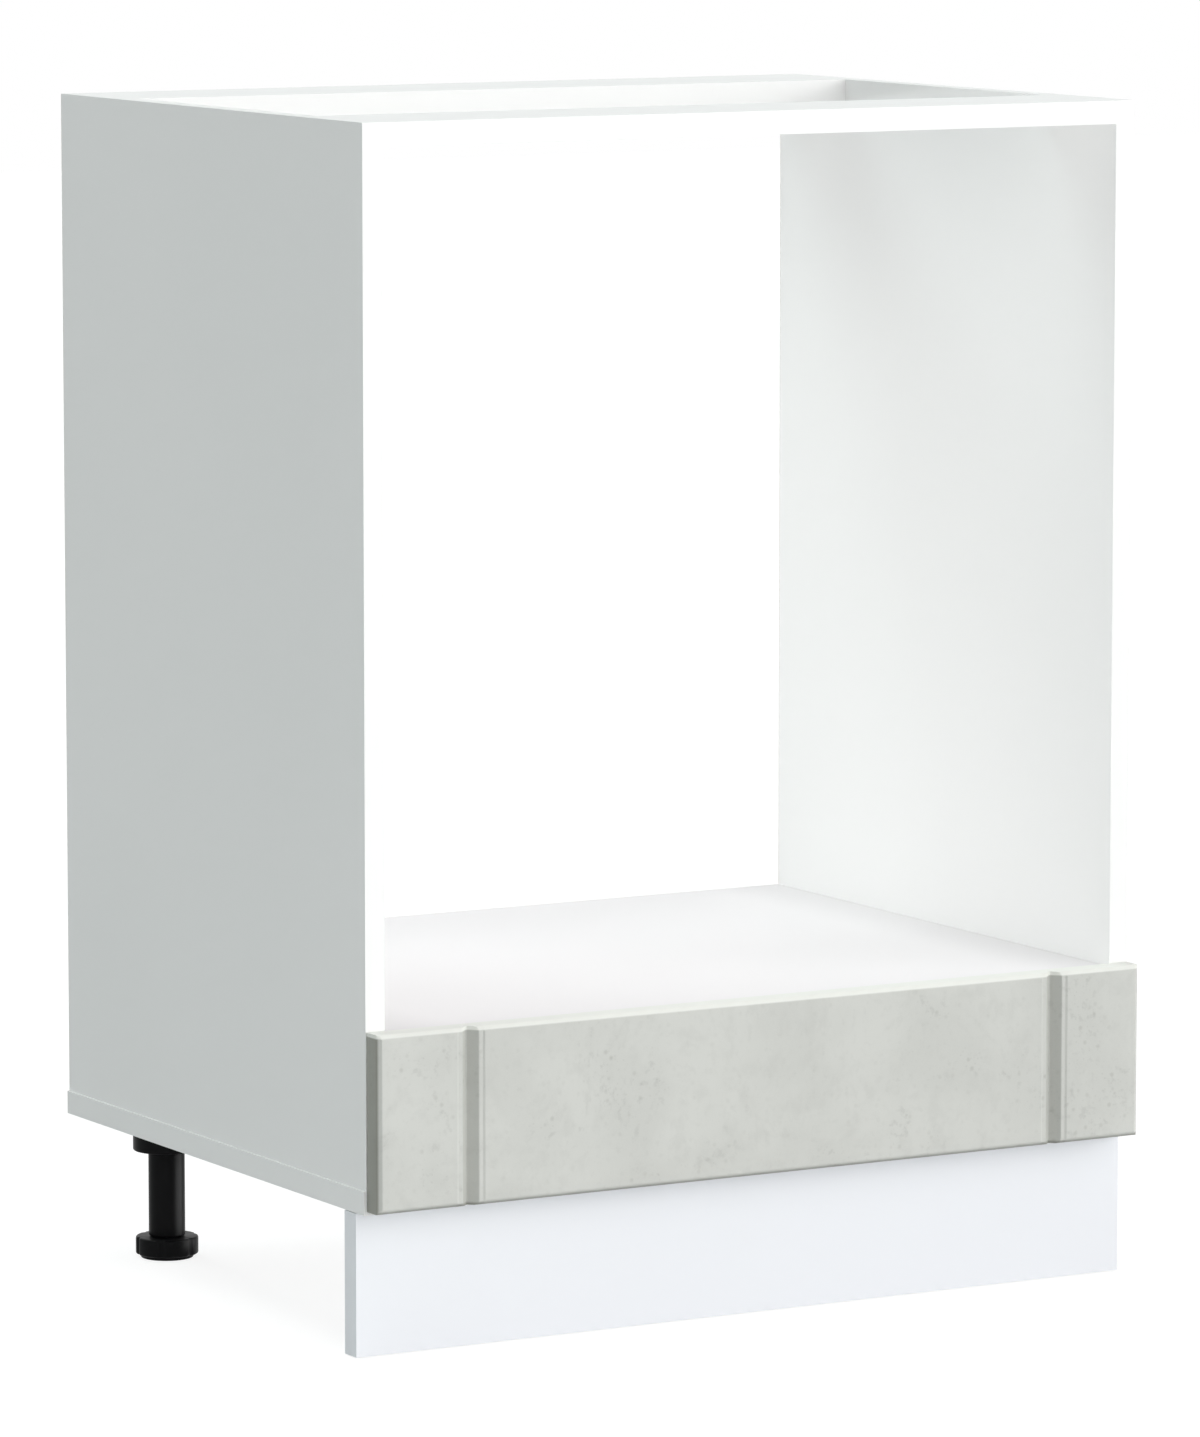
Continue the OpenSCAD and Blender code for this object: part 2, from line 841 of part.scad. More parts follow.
// A plate on the plinth, a neck, and a fork that slides over the leg tube
module plinth_clip(s) {
    out_r = clip_in_r + clip_wall;
    color(hardware_black)
        difference() {
            at_side(s) {
                translate([leg_x - clip_plate[0] / 2, plinth_rear_y, clip_z + (clip_h - clip_plate[2]) / 2])
                    cube(clip_plate);
                translate([leg_x, leg_front_y, clip_z])
                    linear_extrude(height = clip_h)
                        difference() {
                            union() {
                                circle(out_r);
                                translate([-out_r, 0]) square([2 * out_r, clip_arm]);
                                translate([-clip_neck_w / 2, plinth_rear_y - leg_front_y])
                                    square([clip_neck_w, leg_front_y - plinth_rear_y]);
                            }
                            circle(clip_in_r);
                            translate([-clip_in_r, 0]) square([2 * clip_in_r, out_r + past]);
                        }
            }
            clip_screws_at() along_y(-past, clip_plate[1] + past, clip_screw_r + fit_gap);
        }
}

module plinth_clip_screws() {
    color(steel)
        clip_screws_at() {
            along_y(-clip_screw_l, clip_plate[1], clip_screw_r);
            along_y(clip_plate[1], clip_plate[1] + clip_screw_head_t, clip_screw_head_r);
        }
}

side_panel(LEFT);  // side_panel_left
side_panel(RIGHT);  // side_panel_right
bottom_panel();
oven_shelf();
top_rail(0);  // front_top_rail
top_rail(1);  // rear_top_rail
cam_locks();
cam_bolts();
carcass_dowels();
leg_socket(leg_spots[0]);  // leg_socket_front_left
leg_socket(leg_spots[1]);  // leg_socket_front_right
leg_socket(leg_spots[2]);  // leg_socket_rear_left
leg_socket(leg_spots[3]);  // leg_socket_rear_right
leg_tube(leg_spots[0]);  // leg_tube_front_left
leg_tube(leg_spots[1]);  // leg_tube_front_right
leg_tube(leg_spots[2]);  // leg_tube_rear_left
leg_tube(leg_spots[3]);  // leg_tube_rear_right
leg_screws();
leg_foot(leg_spots[0]);  // leg_foot_front_left
leg_foot(leg_spots[1]);  // leg_foot_front_right
leg_foot(leg_spots[2]);  // leg_foot_rear_left
leg_foot(leg_spots[3]);  // leg_foot_rear_right
cabinet_runner(LEFT);  // cabinet_runner_left
cabinet_runner(RIGHT);  // cabinet_runner_right
cabinet_runner_screws();
front_roller(LEFT);  // front_roller_left
front_roller(RIGHT);  // front_roller_right
front_roller_pins();
drawer_front();
drawer_inner_front();
drawer_side(LEFT);  // drawer_side_left
drawer_side(RIGHT);  // drawer_side_right
drawer_back();
drawer_bottom();
front_fixing_screws();
drawer_box_screws();
drawer_runner(LEFT);  // drawer_runner_left
drawer_runner(RIGHT);  // drawer_runner_right
drawer_runner_screws();
rear_roller(LEFT);  // rear_roller_left
rear_roller(RIGHT);  // rear_roller_right
rear_roller_pins();
plinth_panel();
plinth_clip(LEFT);  // plinth_clip_left
plinth_clip(RIGHT);  // plinth_clip_right
plinth_clip_screws();
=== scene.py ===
# Finishes the oven base cabinet around its frame: white melamine boards, a routed drawer front
# with a concrete look, black moulded legs, roller runners with their hardware, and a pale studio.
import json
import math

import bpy
import numpy as np
from bpy.props import FloatProperty, FloatVectorProperty, IntProperty, PointerProperty
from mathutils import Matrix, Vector


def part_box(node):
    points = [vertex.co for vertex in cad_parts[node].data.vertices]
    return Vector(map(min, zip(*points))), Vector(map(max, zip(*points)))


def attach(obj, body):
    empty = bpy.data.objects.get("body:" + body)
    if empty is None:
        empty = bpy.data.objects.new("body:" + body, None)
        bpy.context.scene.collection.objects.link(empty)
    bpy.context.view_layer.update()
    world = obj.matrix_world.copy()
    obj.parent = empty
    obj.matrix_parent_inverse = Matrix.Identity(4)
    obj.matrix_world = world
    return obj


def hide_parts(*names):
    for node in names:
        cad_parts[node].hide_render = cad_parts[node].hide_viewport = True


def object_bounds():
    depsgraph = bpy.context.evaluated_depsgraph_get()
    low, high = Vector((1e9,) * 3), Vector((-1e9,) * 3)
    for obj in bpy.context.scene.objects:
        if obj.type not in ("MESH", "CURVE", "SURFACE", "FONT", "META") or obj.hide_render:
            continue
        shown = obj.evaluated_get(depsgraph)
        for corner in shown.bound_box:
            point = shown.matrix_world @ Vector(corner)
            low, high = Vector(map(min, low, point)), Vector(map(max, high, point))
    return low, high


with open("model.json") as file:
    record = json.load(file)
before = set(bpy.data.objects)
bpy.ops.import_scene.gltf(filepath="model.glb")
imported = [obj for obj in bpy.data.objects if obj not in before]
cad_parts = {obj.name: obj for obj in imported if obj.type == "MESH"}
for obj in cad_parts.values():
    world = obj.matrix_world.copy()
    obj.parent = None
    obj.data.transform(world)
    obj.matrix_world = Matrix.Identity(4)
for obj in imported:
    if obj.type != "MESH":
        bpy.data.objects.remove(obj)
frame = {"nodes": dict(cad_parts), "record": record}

bl_info = {
    "name": "Oven base cabinet",
    "version": (1, 0, 0),
    "blender": (4, 5, 0),
    "location": "3D View > Sidebar > Cabinet",
    "description": "Finishes the boards, drawer front, legs and hardware of an oven base cabinet",
    "category": "Object",
}

CAD_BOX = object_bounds()
MM = 0.001
SMALLEST = 1e-6
RIGHT_TURN = math.pi / 2
FULL_TURN = 2 * math.pi
SMOOTH_BELOW = math.radians(30)
ARC_STEPS = 5
SENSOR_MM = 36

SIDE_PANELS = ("side_panel_left", "side_panel_right")
CARCASS_BOARDS = ("bottom_panel", "front_top_rail", "rear_top_rail")
DRAWER_BOARDS = ("drawer_inner_front", "drawer_side_left", "drawer_side_right", "drawer_back")
RUNNERS = (
    "cabinet_runner_left", "cabinet_runner_right", "drawer_runner_left", "drawer_runner_right")
CLIPS = ("plinth_clip_left", "plinth_clip_right")
LEGS = ("front_left", "front_right", "rear_left", "rear_right")
ROLLERS = ("front_roller_left", "front_roller_right", "rear_roller_left", "rear_roller_right")
ROLLER_PIN = 2.5 * MM
ROLLER_PLAY = 0.06 * MM

# For each axis that a node's screws lie along: the head's thickness and the shank's radius in
# millimetres, and the way the head points
SCREW_SIZES = {
    "leg_screws": {2: (2.4, 1.75, -1)},
    "cabinet_runner_screws": {0: (1.6, 2.5, -1)},
    "drawer_runner_screws": {0: (1.6, 1.75, 1)},
    "front_fixing_screws": {1: (2.2, 2.0, 1)},
    "drawer_box_screws": {0: (2.5, 2.0, 1), 2: (1.2, 1.5, -1)},
    "plinth_clip_screws": {1: (1.6, 1.5, 1)},
}


def linear(hex_colour):
    """Turns an sRGB hex colour into linear red, green and blue."""
    shares = np.array([int(hex_colour[i:i + 2], 16) for i in (1, 3, 5)]) / 255
    return tuple(np.where(shares <= 0.04045, shares / 12.92, ((shares + 0.055) / 1.055) ** 2.4))


def shade(colour, share):
    """A linear colour scaled by a share, with full alpha."""
    return (*[share * part for part in colour], 1.0)


# Sizes and colours


def a_colour(name, description, hex_colour):
    """A colour that a user can change."""
    return FloatVectorProperty(
        name=name, description=description, subtype="COLOR", size=3, default=linear(hex_colour))


def a_length(name, description, millimetres):
    """A length that a user can change."""
    return FloatProperty(
        name=name, description=description, unit="LENGTH", default=millimetres * MM)


def an_angle(name, description, degrees):
    """An angle that a user can change."""
    return FloatProperty(
        name=name, description=description, subtype="ANGLE", default=math.radians(degrees))


def a_strength(name, description, value, subtype="NONE"):
    """A share, a strength or a power that a user can change."""
    return FloatProperty(name=name, description=description, subtype=subtype, default=value)


class BoardSettings(bpy.types.PropertyGroup):
    """Finish of the melamine-faced boards"""

    white: a_colour("Facing", "Colour of the melamine facing", "#f3f3f2")
    plinth_white: a_colour("Plinth facing", "Colour of the plinth's cooler facing", "#f0f2f6")
    # Painted shade: the shelf's facing is the white facing drawn a little darker and warmer, for
    # the light that falls on it
    shaded_shelf_white: a_colour("Shelf facing", "Colour of the oven shelf's warmer facing", "#f0edee")
    core: a_colour("Core", "Colour of the chipboard that shows at the bare rear edges", "#a08a6c")
    chip: a_length("Chips", "Size of the wood chips in the core", 2.5)
    # Painted shade: width of the greyer strip drawn on the shelf along each side panel
    painted_shade_width: a_length(
        "Corner soil", "Width of the greyer strip of the shelf along each side panel", 65)
    fibre: a_colour("Fibre", "Colour of the bare underside of the drawer's bottom sheet", "#8a6a4a")
    arris: a_length("Arris", "Width of the eased arris along each board", 0.6)
    band: a_length("Edge band", "Thickness of the band glued to each front edge", 1.0)
    joint_arris: a_length(
        "Bottom panel arris", "Width of the arris that shows along the bottom joint", 1.7)
    side_arris: a_length("Side panel arris", "Width of the eased arris of the side panels", 0.3)
    side_set_in: a_length(
        "Side panels set in", "How far the bottom panel's ends stand out under the sides", 1.6)
    pearl: a_length("Pearl grain", "Spacing of the pressed pearl grain", 1.3)


class FrontSettings(bpy.types.PropertyGroup):
    """Shape and finish of the routed drawer front"""

    light: a_colour("Light cloud", "Lightest colour of the printed concrete", "#cecfca")
    dark: a_colour("Dark cloud", "Darkest colour of the printed concrete", "#c7c8c3")
    pore: a_colour("Pore", "Colour of the printed pores", "#96968f")
    # Painted shade: the tint that darkens the ends, the bottom edge and the grooves
    painted_edge_shade: a_colour(
        "Painted edge shade", "Tint of the print where the foil turns the ends and the grooves", "#b4b4ae")
    # Painted highlight: the paler colour drawn over the top bevel
    painted_highlight: a_colour(
        "Painted highlight", "Colour of the print where the foil stretches over the top bevel",
        "#ecede7")
    bevel: a_length("Bevel", "Width of the bevel round the face", 3)
    bevel_softness: a_length("Bevel softness", "Radius that eases both sides of the bevel", 1.4)
    groove_inset: a_length("Groove inset", "Distance from an end to the middle of its groove", 69.5)
    groove_width: a_length("Groove width", "Width of a groove at the face", 21)
    groove_step: a_length("Groove step", "Depth of the groove's shallow outer ledges", 0.7)
    groove_middle: a_length("Groove middle", "Half width and depth of the right-angled middle", 6)
    groove_flat: a_length("Groove flat", "Width of the flat at the bottom of the groove", 0.8)
    foil: a_length("Foil softening", "Length over which the wrapped foil softens a corner", 0.3)
    cloud: a_length("Clouds", "Size of the printed clouds", 75)
    pore_spacing: a_length("Pore spacing", "Distance between the printed pores", 9)


class LegSettings(bpy.types.PropertyGroup):
    """Shape and finish of the levelling legs and plinth clips"""

    black: a_colour("Black", "Colour of the moulded black plastic", "#1b1b1c")
    grain: a_length("Grain", "Spacing of the moulded surface grain", 0.7)
    socket_wall: a_length("Socket roof", "Thickness of the socket above the tube", 3)
    screw_recess: a_length("Screw recess", "Depth of the recesses for the socket's screws", 4)
    tube_wall: a_length("Tube wall", "Wall of the leg tube", 2.4)
    knob: a_length("Knob", "Height of the lobed knob", 15)
    pad_inset: a_length("Pad inset", "How much smaller the pad under the knob is", 3.5)
    pad: a_length("Pad", "Height of the pad under the knob", 2.5)
    lobes: IntProperty(name="Lobes", description="Finger notches round the knob", default=6)
    notch: a_length("Notch radius", "Radius of a finger notch", 2.6)
    notch_turn: an_angle("Notch turn", "Direction of the first finger notch", -6.3)
    stem_gap: a_length("Stem gap", "Gap between the threaded stem and the tube", 0.1)
    pitch: a_length("Stem pitch", "Rise of the stem's thread in one turn", 3)
    thread: a_length("Stem thread", "Depth of the stem's thread", 0.9)
    clip_arris: a_length("Clip arris", "Width of the eased arris of the plinth clips", 0.4)


class HardwareSettings(bpy.types.PropertyGroup):
    """Finish of the runners, rollers, screws and carcass fittings"""

    epoxy: a_colour("Epoxy coat", "Colour of the runners' white coat", "#e9e9e5")
    nylon: a_colour("Nylon", "Colour of the rollers", "#dedbd0")
    plated: a_colour("Zinc plate", "Colour of the plated screws and bolts", "#c3c8cf")
    die_cast: a_colour("Die-cast zinc", "Colour of the cams and roller pins", "#a9adb2")
    beech: a_colour("Beech", "Colour of the beech dowels", "#d2b184")
    thread: a_strength(
        "Thread depth", "Depth of the screws' thread as a share of their radius", 0.24)
    pitch: a_length("Thread pitch", "Rise of the screws' thread in one turn", 1.8)


class StageSettings(bpy.types.PropertyGroup):
    """Camera and light"""

    eye: FloatVectorProperty(
        name="Eye", description="Place of the camera",
        subtype="TRANSLATION", size=3, default=(-2.721, -4.758, 1.084))
    yaw: an_angle("Yaw", "Turn of the camera to the right of straight on", 29.77)
    pitch: an_angle("Pitch", "How far the camera looks down", 7.27)
    lens: a_strength("Lens", "Focal length for a 36 mm long side, in millimetres", 199.5)
    front_light: a_strength("Front light", "Strength of the soft light straight in front", 0.92)
    right_light: a_strength(
        "Right light", "Strength of the soft light in front, to the right", 1.74)
    left_light: a_strength("Left light", "Strength of the soft light from the left", 0.36)
    rear_light: a_strength("Rear light", "Strength of the soft light behind, to the left", 0.13)
    cool: FloatVectorProperty(
        name="Cool tint", description="Tint of the light from the left and from behind",
        subtype="COLOR", size=3, default=(0.9, 1.0, 0.99))
    key: a_strength("Key", "Strength of the lamp in front, to the right", 0.75)
    back: a_strength("Back", "Strength of the lamp above and behind, to the left", 1.1)
    top: a_strength("Top", "Strength of the lamp overhead", 0.5)
    key_width: an_angle("Key width", "Angle that the lamp in front fills", 25)
    lamp_width: an_angle("Lamp width", "Angle that the lamps above fill", 40)
    gloss: a_strength(
        "Gloss strip", "Power of the strip that only the rear left leg's gloss shows", 0.1, "POWER")
    fill: a_strength("Fill", "Power of the lamp behind the open back", 410, "POWER")
    floor: a_colour("Floor", "Colour of the pale floor", "#d6d6d6")


# Shader nodes and materials


def node(tree, kind, inputs, output=0, **settings):
    """Adds a node with its settings. Inputs map a socket's name or number to a value, or to the
    output that feeds it. Gives back the output that is asked for."""
    made = tree.nodes.new(kind)
    for name, value in settings.items():
        setattr(made, name, value)
    for key, value in inputs.items():
        if isinstance(value, bpy.types.NodeSocket):
            tree.links.new(value, made.inputs[key])
        else:
            made.inputs[key].default_value = value
    return made.outputs[output] if made.outputs else None


def new_material(name):
    """An empty node material, with its tree and the object coordinates that its patterns read."""
    material = bpy.data.materials.new(name)
    material.use_nodes = True
    tree = material.node_tree
    tree.nodes.clear()
    return material, tree, node(tree, "ShaderNodeTexCoord", {}, "Object")


def finished(material, shader):
    """Joins the shader to the material's output."""
    node(material.node_tree, "ShaderNodeOutputMaterial", {"Surface": shader})
    return material


def skin(name, colour, drift, patch, grain, relief, rough, marks_and_shade=None, **constants):
    """The common build of a smooth factory finish. Patches of a size drift the colour and the
    roughness a little, and a fine grain of a depth breaks up the gloss. Marks and painted shade,
    when given, change the face."""
    material, tree, place = new_material(name)
    patches = node(tree, "ShaderNodeTexNoise", {"Vector": place, "Scale": 1 / patch, "Detail": 3.0})
    face = node(tree, "ShaderNodeMix", {
        0: patches, 6: shade(colour, 1 - drift), 7: shade(colour, 1)}, 2, data_type="RGBA")
    if marks_and_shade:
        face = marks_and_shade(tree, place, face)
    grains = node(tree, "ShaderNodeTexNoise", {"Vector": place, "Scale": 1 / grain})
    normal = node(tree, "ShaderNodeBump", {"Height": grains, "Strength": 0.3, "Distance": relief})
    spread = 0.04
    gloss = node(tree, "ShaderNodeMapRange", {
        "Value": patches, "From Min": 0.3, "From Max": 0.7,
        "To Min": rough - spread, "To Max": rough + spread})
    inputs = {"Base Color": face, "Roughness": gloss, "Normal": normal} | constants
    return finished(material, node(tree, "ShaderNodeBsdfPrincipled", inputs))


def melamine(name, colour, settings, seam=None, rear=None, wall=None):
    """Melamine-faced chipboard: paper and resin pressed on board. It gives a hard satin white with
    a faint pearl grain, drawn about three times as coarse as the pressed plate's. The edge band is
    a touch whiter than the face, and a hairline shows where they meet. The rear edge is bare and
    shows the brown chips of the core. A board between two walls gets painted shade along them:
    it is drawn a little greyer towards each wall."""

    def band_line(tree, place, face):
        depth = node(tree, "ShaderNodeSeparateXYZ", {0: place}, "Y")
        band = node(tree, "ShaderNodeMath", {0: depth, 1: seam}, operation="LESS_THAN")
        # The joint is about 0.1 mm wide, and is drawn wider so that it shows
        line = node(tree, "ShaderNodeMath", {0: depth, 1: seam, 2: 0.2 * MM}, operation="COMPARE")
        for share, whiteness in ((band, 1.07), (line, 0.93)):
            face = node(tree, "ShaderNodeMix", {
                0: share, 6: face, 7: shade(colour, whiteness)}, 2, data_type="RGBA")
        # Painted shade along the walls of a board that stands between two
        if wall:
            face = paint_corner_shade(tree, place, face)
        grain = node(tree, "ShaderNodeTexNoise", {
            "Vector": place, "Scale": 1 / settings.chip, "Detail": 4.0, "Roughness": 0.7})
        chips = node(tree, "ShaderNodeMapRange", {
            "Value": grain, "From Min": 0.35, "From Max": 0.65})
        core = node(tree, "ShaderNodeMix", {
            0: chips, 6: shade(settings.core, 0.6), 7: shade(settings.core, 1.1)},
            2, data_type="RGBA")
        # The facing ends within the arris of the rear edge
        bare = node(tree, "ShaderNodeMapRange", {
            "Value": depth, "From Min": rear - 0.3 * MM, "From Max": rear - 0.2 * MM})
        return node(tree, "ShaderNodeMix", {0: bare, 6: face, 7: core}, 2, data_type="RGBA")

    def paint_corner_shade(tree, place, face):
        across = node(tree, "ShaderNodeSeparateXYZ", {0: place}, "X")
        outwards = node(tree, "ShaderNodeMath", {0: across}, operation="ABSOLUTE")
        # Painted shade along the walls. Each layer: how far it reaches from the wall, and how grey
        # it is at the wall
        for reach, strength in ((settings.painted_shade_width, 0.13), (settings.painted_shade_width / 12, 0.08)):
            painted_shade = node(tree, "ShaderNodeMapRange", {
                "Value": outwards, "From Min": wall - reach, "From Max": wall,
                "To Max": strength}, interpolation_type="SMOOTHSTEP")
            face = node(tree, "ShaderNodeMix", {
                0: painted_shade, 6: face, 7: shade(colour, 0.05)}, 2, data_type="RGBA")
        return face

    return skin(
        name, colour, drift=0.012, patch=180 * MM, grain=settings.pearl, relief=0.03 * MM,
        rough=0.44, marks_and_shade=band_line if seam is not None else None)


def concrete_foil(settings, lowest, highest):
    """Printed foil wrapped over fibreboard: matt, with the soft clouds, smudges and small pores of
    a cast concrete panel, and no relief that a finger would feel. Painted shade darkens the print
    at the ends, the bottom edge and the grooves, and a painted highlight makes it paler over the
    top bevel."""
    material, tree, place = new_material("Concrete look foil")
    swirl, swirl_size, cluster = 35 * MM, 90 * MM, 38 * MM
    bend = node(tree, "ShaderNodeTexNoise", {
        "Vector": place, "Scale": 1 / swirl_size, "Detail": 1.0}, 1)
    warped = node(tree, "ShaderNodeVectorMath", {
        0: bend, 1: (swirl, swirl, swirl), 2: place}, operation="MULTIPLY_ADD")
    clusters = node(tree, "ShaderNodeTexNoise", {
        "Vector": warped, "Scale": 1 / cluster, "Detail": 2.0})
    soiled = node(tree, "ShaderNodeMapRange", {
        "Value": clusters, "From Min": 0.5, "From Max": 0.64, "To Min": 0.25},
        interpolation_type="SMOOTHSTEP")
    face = shade(settings.light, 1)
    # Each layer: where it lies, its size, the noise that it starts and ends at, its strength, its
    # colour, and the share of it that is kept
    for where, size, low, high, strength, colour, kept in (
        (warped, settings.cloud, 0.34, 0.66, 1.0, shade(settings.dark, 1), 1.0),
        (warped, 15 * MM, 0.48, 0.75, 0.5, shade(settings.dark, 0.93), 1.0),
        (warped, 6 * MM, 0.53, 0.7, 0.55, shade(settings.dark, 0.8), soiled),
        (place, 1.1 * MM, 0.35, 0.65, 0.12, shade(settings.light, 1.08), 1.0),
    ):
        noise = node(tree, "ShaderNodeTexNoise", {
            "Vector": where, "Scale": 1 / size, "Detail": 4.0, "Roughness": 0.55})
        share = node(tree, "ShaderNodeMapRange", {
            "Value": noise, "From Min": low, "From Max": high, "To Max": strength},
            interpolation_type="SMOOTHSTEP")
        share = node(tree, "ShaderNodeMath", {0: share, 1: kept}, operation="MULTIPLY")
        face = node(tree, "ShaderNodeMix", {0: share, 6: face, 7: colour}, 2, data_type="RGBA")
    # Large pores, and small ones between them: their spacing and strength
    for spacing, strength in ((settings.pore_spacing, 0.3), (settings.pore_spacing / 2.3, 0.16)):
        cell = node(tree, "ShaderNodeTexVoronoi", {"Vector": place, "Scale": 1 / spacing})
        near = node(tree, "ShaderNodeMapRange", {
            "Value": cell, "From Min": 0.06, "From Max": 0.26, "To Min": strength,
            "To Max": 0.0}, interpolation_type="SMOOTHSTEP")
        share = node(tree, "ShaderNodeMath", {0: near, 1: soiled}, operation="MULTIPLY")
        face = node(tree, "ShaderNodeMix", {
            0: share, 6: face, 7: shade(settings.pore, 1)}, 2, data_type="RGBA")
    across, depth, level = (node(tree, "ShaderNodeSeparateXYZ", {0: place}, axis) for axis in "XYZ")
    outwards = node(tree, "ShaderNodeMath", {0: across}, operation="ABSOLUTE")
    from_end = node(tree, "ShaderNodeMath", {0: highest[0], 1: outwards}, operation="SUBTRACT")
    from_bottom = node(tree, "ShaderNodeMath", {0: level, 1: lowest[2]}, operation="SUBTRACT")
    # The painted shade reaches further up from the bottom edge than in from an end
    from_bottom = node(tree, "ShaderNodeMath", {0: from_bottom, 1: 0.6}, operation="MULTIPLY")
    nearest = node(tree, "ShaderNodeMath", {0: from_end, 1: from_bottom}, operation="MINIMUM")
    # Painted shade on the ends and the bottom edge
    painted_edge_shade = node(tree, "ShaderNodeMapRange", {
        "Value": nearest, "From Min": 0.3 * MM, "From Max": 1.6 * MM, "To Min": 1.0,
        "To Max": 0.0}, interpolation_type="SMOOTHSTEP")
    # The painted shade of a groove starts below its ledges
    step = settings.groove_step
    sunk = node(tree, "ShaderNodeMapRange", {
        "Value": depth, "From Min": lowest[1] + 1.4 * step, "From Max": lowest[1] + 2 * step,
        "To Max": 0.22})
    grooved = node(tree, "ShaderNodeMath", {
        0: from_end, 1: settings.groove_inset, 2: settings.groove_width / 2}, operation="COMPARE")
    sunk = node(tree, "ShaderNodeMath", {0: sunk, 1: grooved}, operation="MULTIPLY")
    # A painted highlight along the top bevel
    painted_top_highlight = node(tree, "ShaderNodeMapRange", {
        "Value": level, "From Min": highest[2] - settings.bevel,
        "From Max": highest[2] - 0.7 * settings.bevel, "To Max": 0.9})
    # Painted shade on the ends, the bottom edge and the grooves, and a painted highlight on the top
    # bevel
    for share, colour, blend in (
        (painted_edge_shade, settings.painted_edge_shade, "MULTIPLY"),
        (sunk, settings.painted_edge_shade, "MULTIPLY"),
        (painted_top_highlight, settings.painted_highlight, "MIX"),
    ):
        face = node(tree, "ShaderNodeMix", {
            0: share, 6: face, 7: shade(colour, 1)}, 2, data_type="RGBA", blend_type=blend)
    grains = node(tree, "ShaderNodeTexNoise", {"Vector": place, "Scale": 1 / (0.9 * MM)})
    normal = node(tree, "ShaderNodeBump", {
        "Height": grains, "Strength": 0.2, "Distance": 0.03 * MM})
    gloss = node(tree, "ShaderNodeMapRange", {"Value": noise, "To Min": 0.38, "To Max": 0.46})
    return finished(material, node(tree, "ShaderNodeBsdfPrincipled", {
        "Base Color": face, "Roughness": gloss, "Normal": normal}))


def hardboard(settings, top):
    """Thin fibreboard, lacquered white above and bare brown felted fibre below."""
    material, tree, place = new_material("White faced hardboard")
    height = node(tree, "ShaderNodeSeparateXYZ", {0: place}, "Z")
    lacquer = node(tree, "ShaderNodeMapRange", {
        "Value": height, "From Min": top - 0.5 * MM, "From Max": top - 0.35 * MM})
    felt = node(tree, "ShaderNodeTexNoise", {
        "Vector": place, "Scale": 1 / (2.5 * MM), "Detail": 4.0})
    fibre = node(tree, "ShaderNodeMix", {
        0: felt, 6: shade(settings.fibre, 0.75), 7: shade(settings.fibre, 1.2)},
        2, data_type="RGBA")
    face = node(tree, "ShaderNodeMix", {
        0: lacquer, 6: fibre, 7: shade(settings.white, 0.97)}, 2, data_type="RGBA")
    normal = node(tree, "ShaderNodeBump", {"Height": felt, "Strength": 0.2, "Distance": 0.05 * MM})
    rough = node(tree, "ShaderNodeMapRange", {"Value": lacquer, "To Min": 0.85, "To Max": 0.42})
    return finished(material, node(tree, "ShaderNodeBsdfPrincipled", {
        "Base Color": face, "Roughness": rough, "Normal": normal}))


def beech(settings):
    """Turned beech: pale pinkish wood with short dark flecks along the grain."""

    def flecks(tree, place, face):
        drawn = node(tree, "ShaderNodeMapping", {"Vector": place, "Scale": (0.25, 1.0, 0.25)})
        fleck = node(tree, "ShaderNodeTexNoise", {"Vector": drawn, "Scale": 1 / (0.8 * MM)})
        share = node(tree, "ShaderNodeMapRange", {
            "Value": fleck, "From Min": 0.5, "From Max": 0.68})
        return node(tree, "ShaderNodeMix", {
            0: share, 6: face, 7: shade(settings.beech, 0.66)}, 2, data_type="RGBA")

    return skin("Turned beech", settings.beech, drift=0.08, patch=10 * MM, grain=0.6 * MM,
                relief=0.05 * MM, rough=0.62, marks_and_shade=flecks)


# Surfaces


def grid_faces(rows, columns, ring=False):
    """Quads over a grid of points, row by row. A ring joins its last column to its first."""
    spans = columns if ring else columns - 1
    row, column = np.meshgrid(np.arange(rows - 1), np.arange(spans), indexing="ij")
    this = row * columns + column
    following = row * columns + (column + 1) % columns
    corners = (this, following, following + columns, this + columns)
    return np.stack(corners, axis=-1).reshape(-1, 4)


def full_circle(angles):
    """The angles of a number of places, evenly spaced round an axis."""
    return np.arange(angles) * FULL_TURN / angles


def turned(radius, height, origin, axis):
    """A surface turned round an axis. Radius and height are arrays of rows by angles, so a point
    is the origin plus its height along the axis and its radius in the direction of its angle."""
    radius, height = np.broadcast_arrays(radius, height)
    rows, angles = radius.shape
    along = np.asarray(axis, float)
    aside = np.roll(along, 1)
    across = np.cross(along, aside)
    angle = full_circle(angles)
    points = (
        np.asarray(origin, float)
        + height[..., None] * along
        + (radius * np.cos(angle))[..., None] * aside
        + (radius * np.sin(angle))[..., None] * across
    )
    return points.reshape(-1, 3), grid_faces(rows, angles, ring=True)


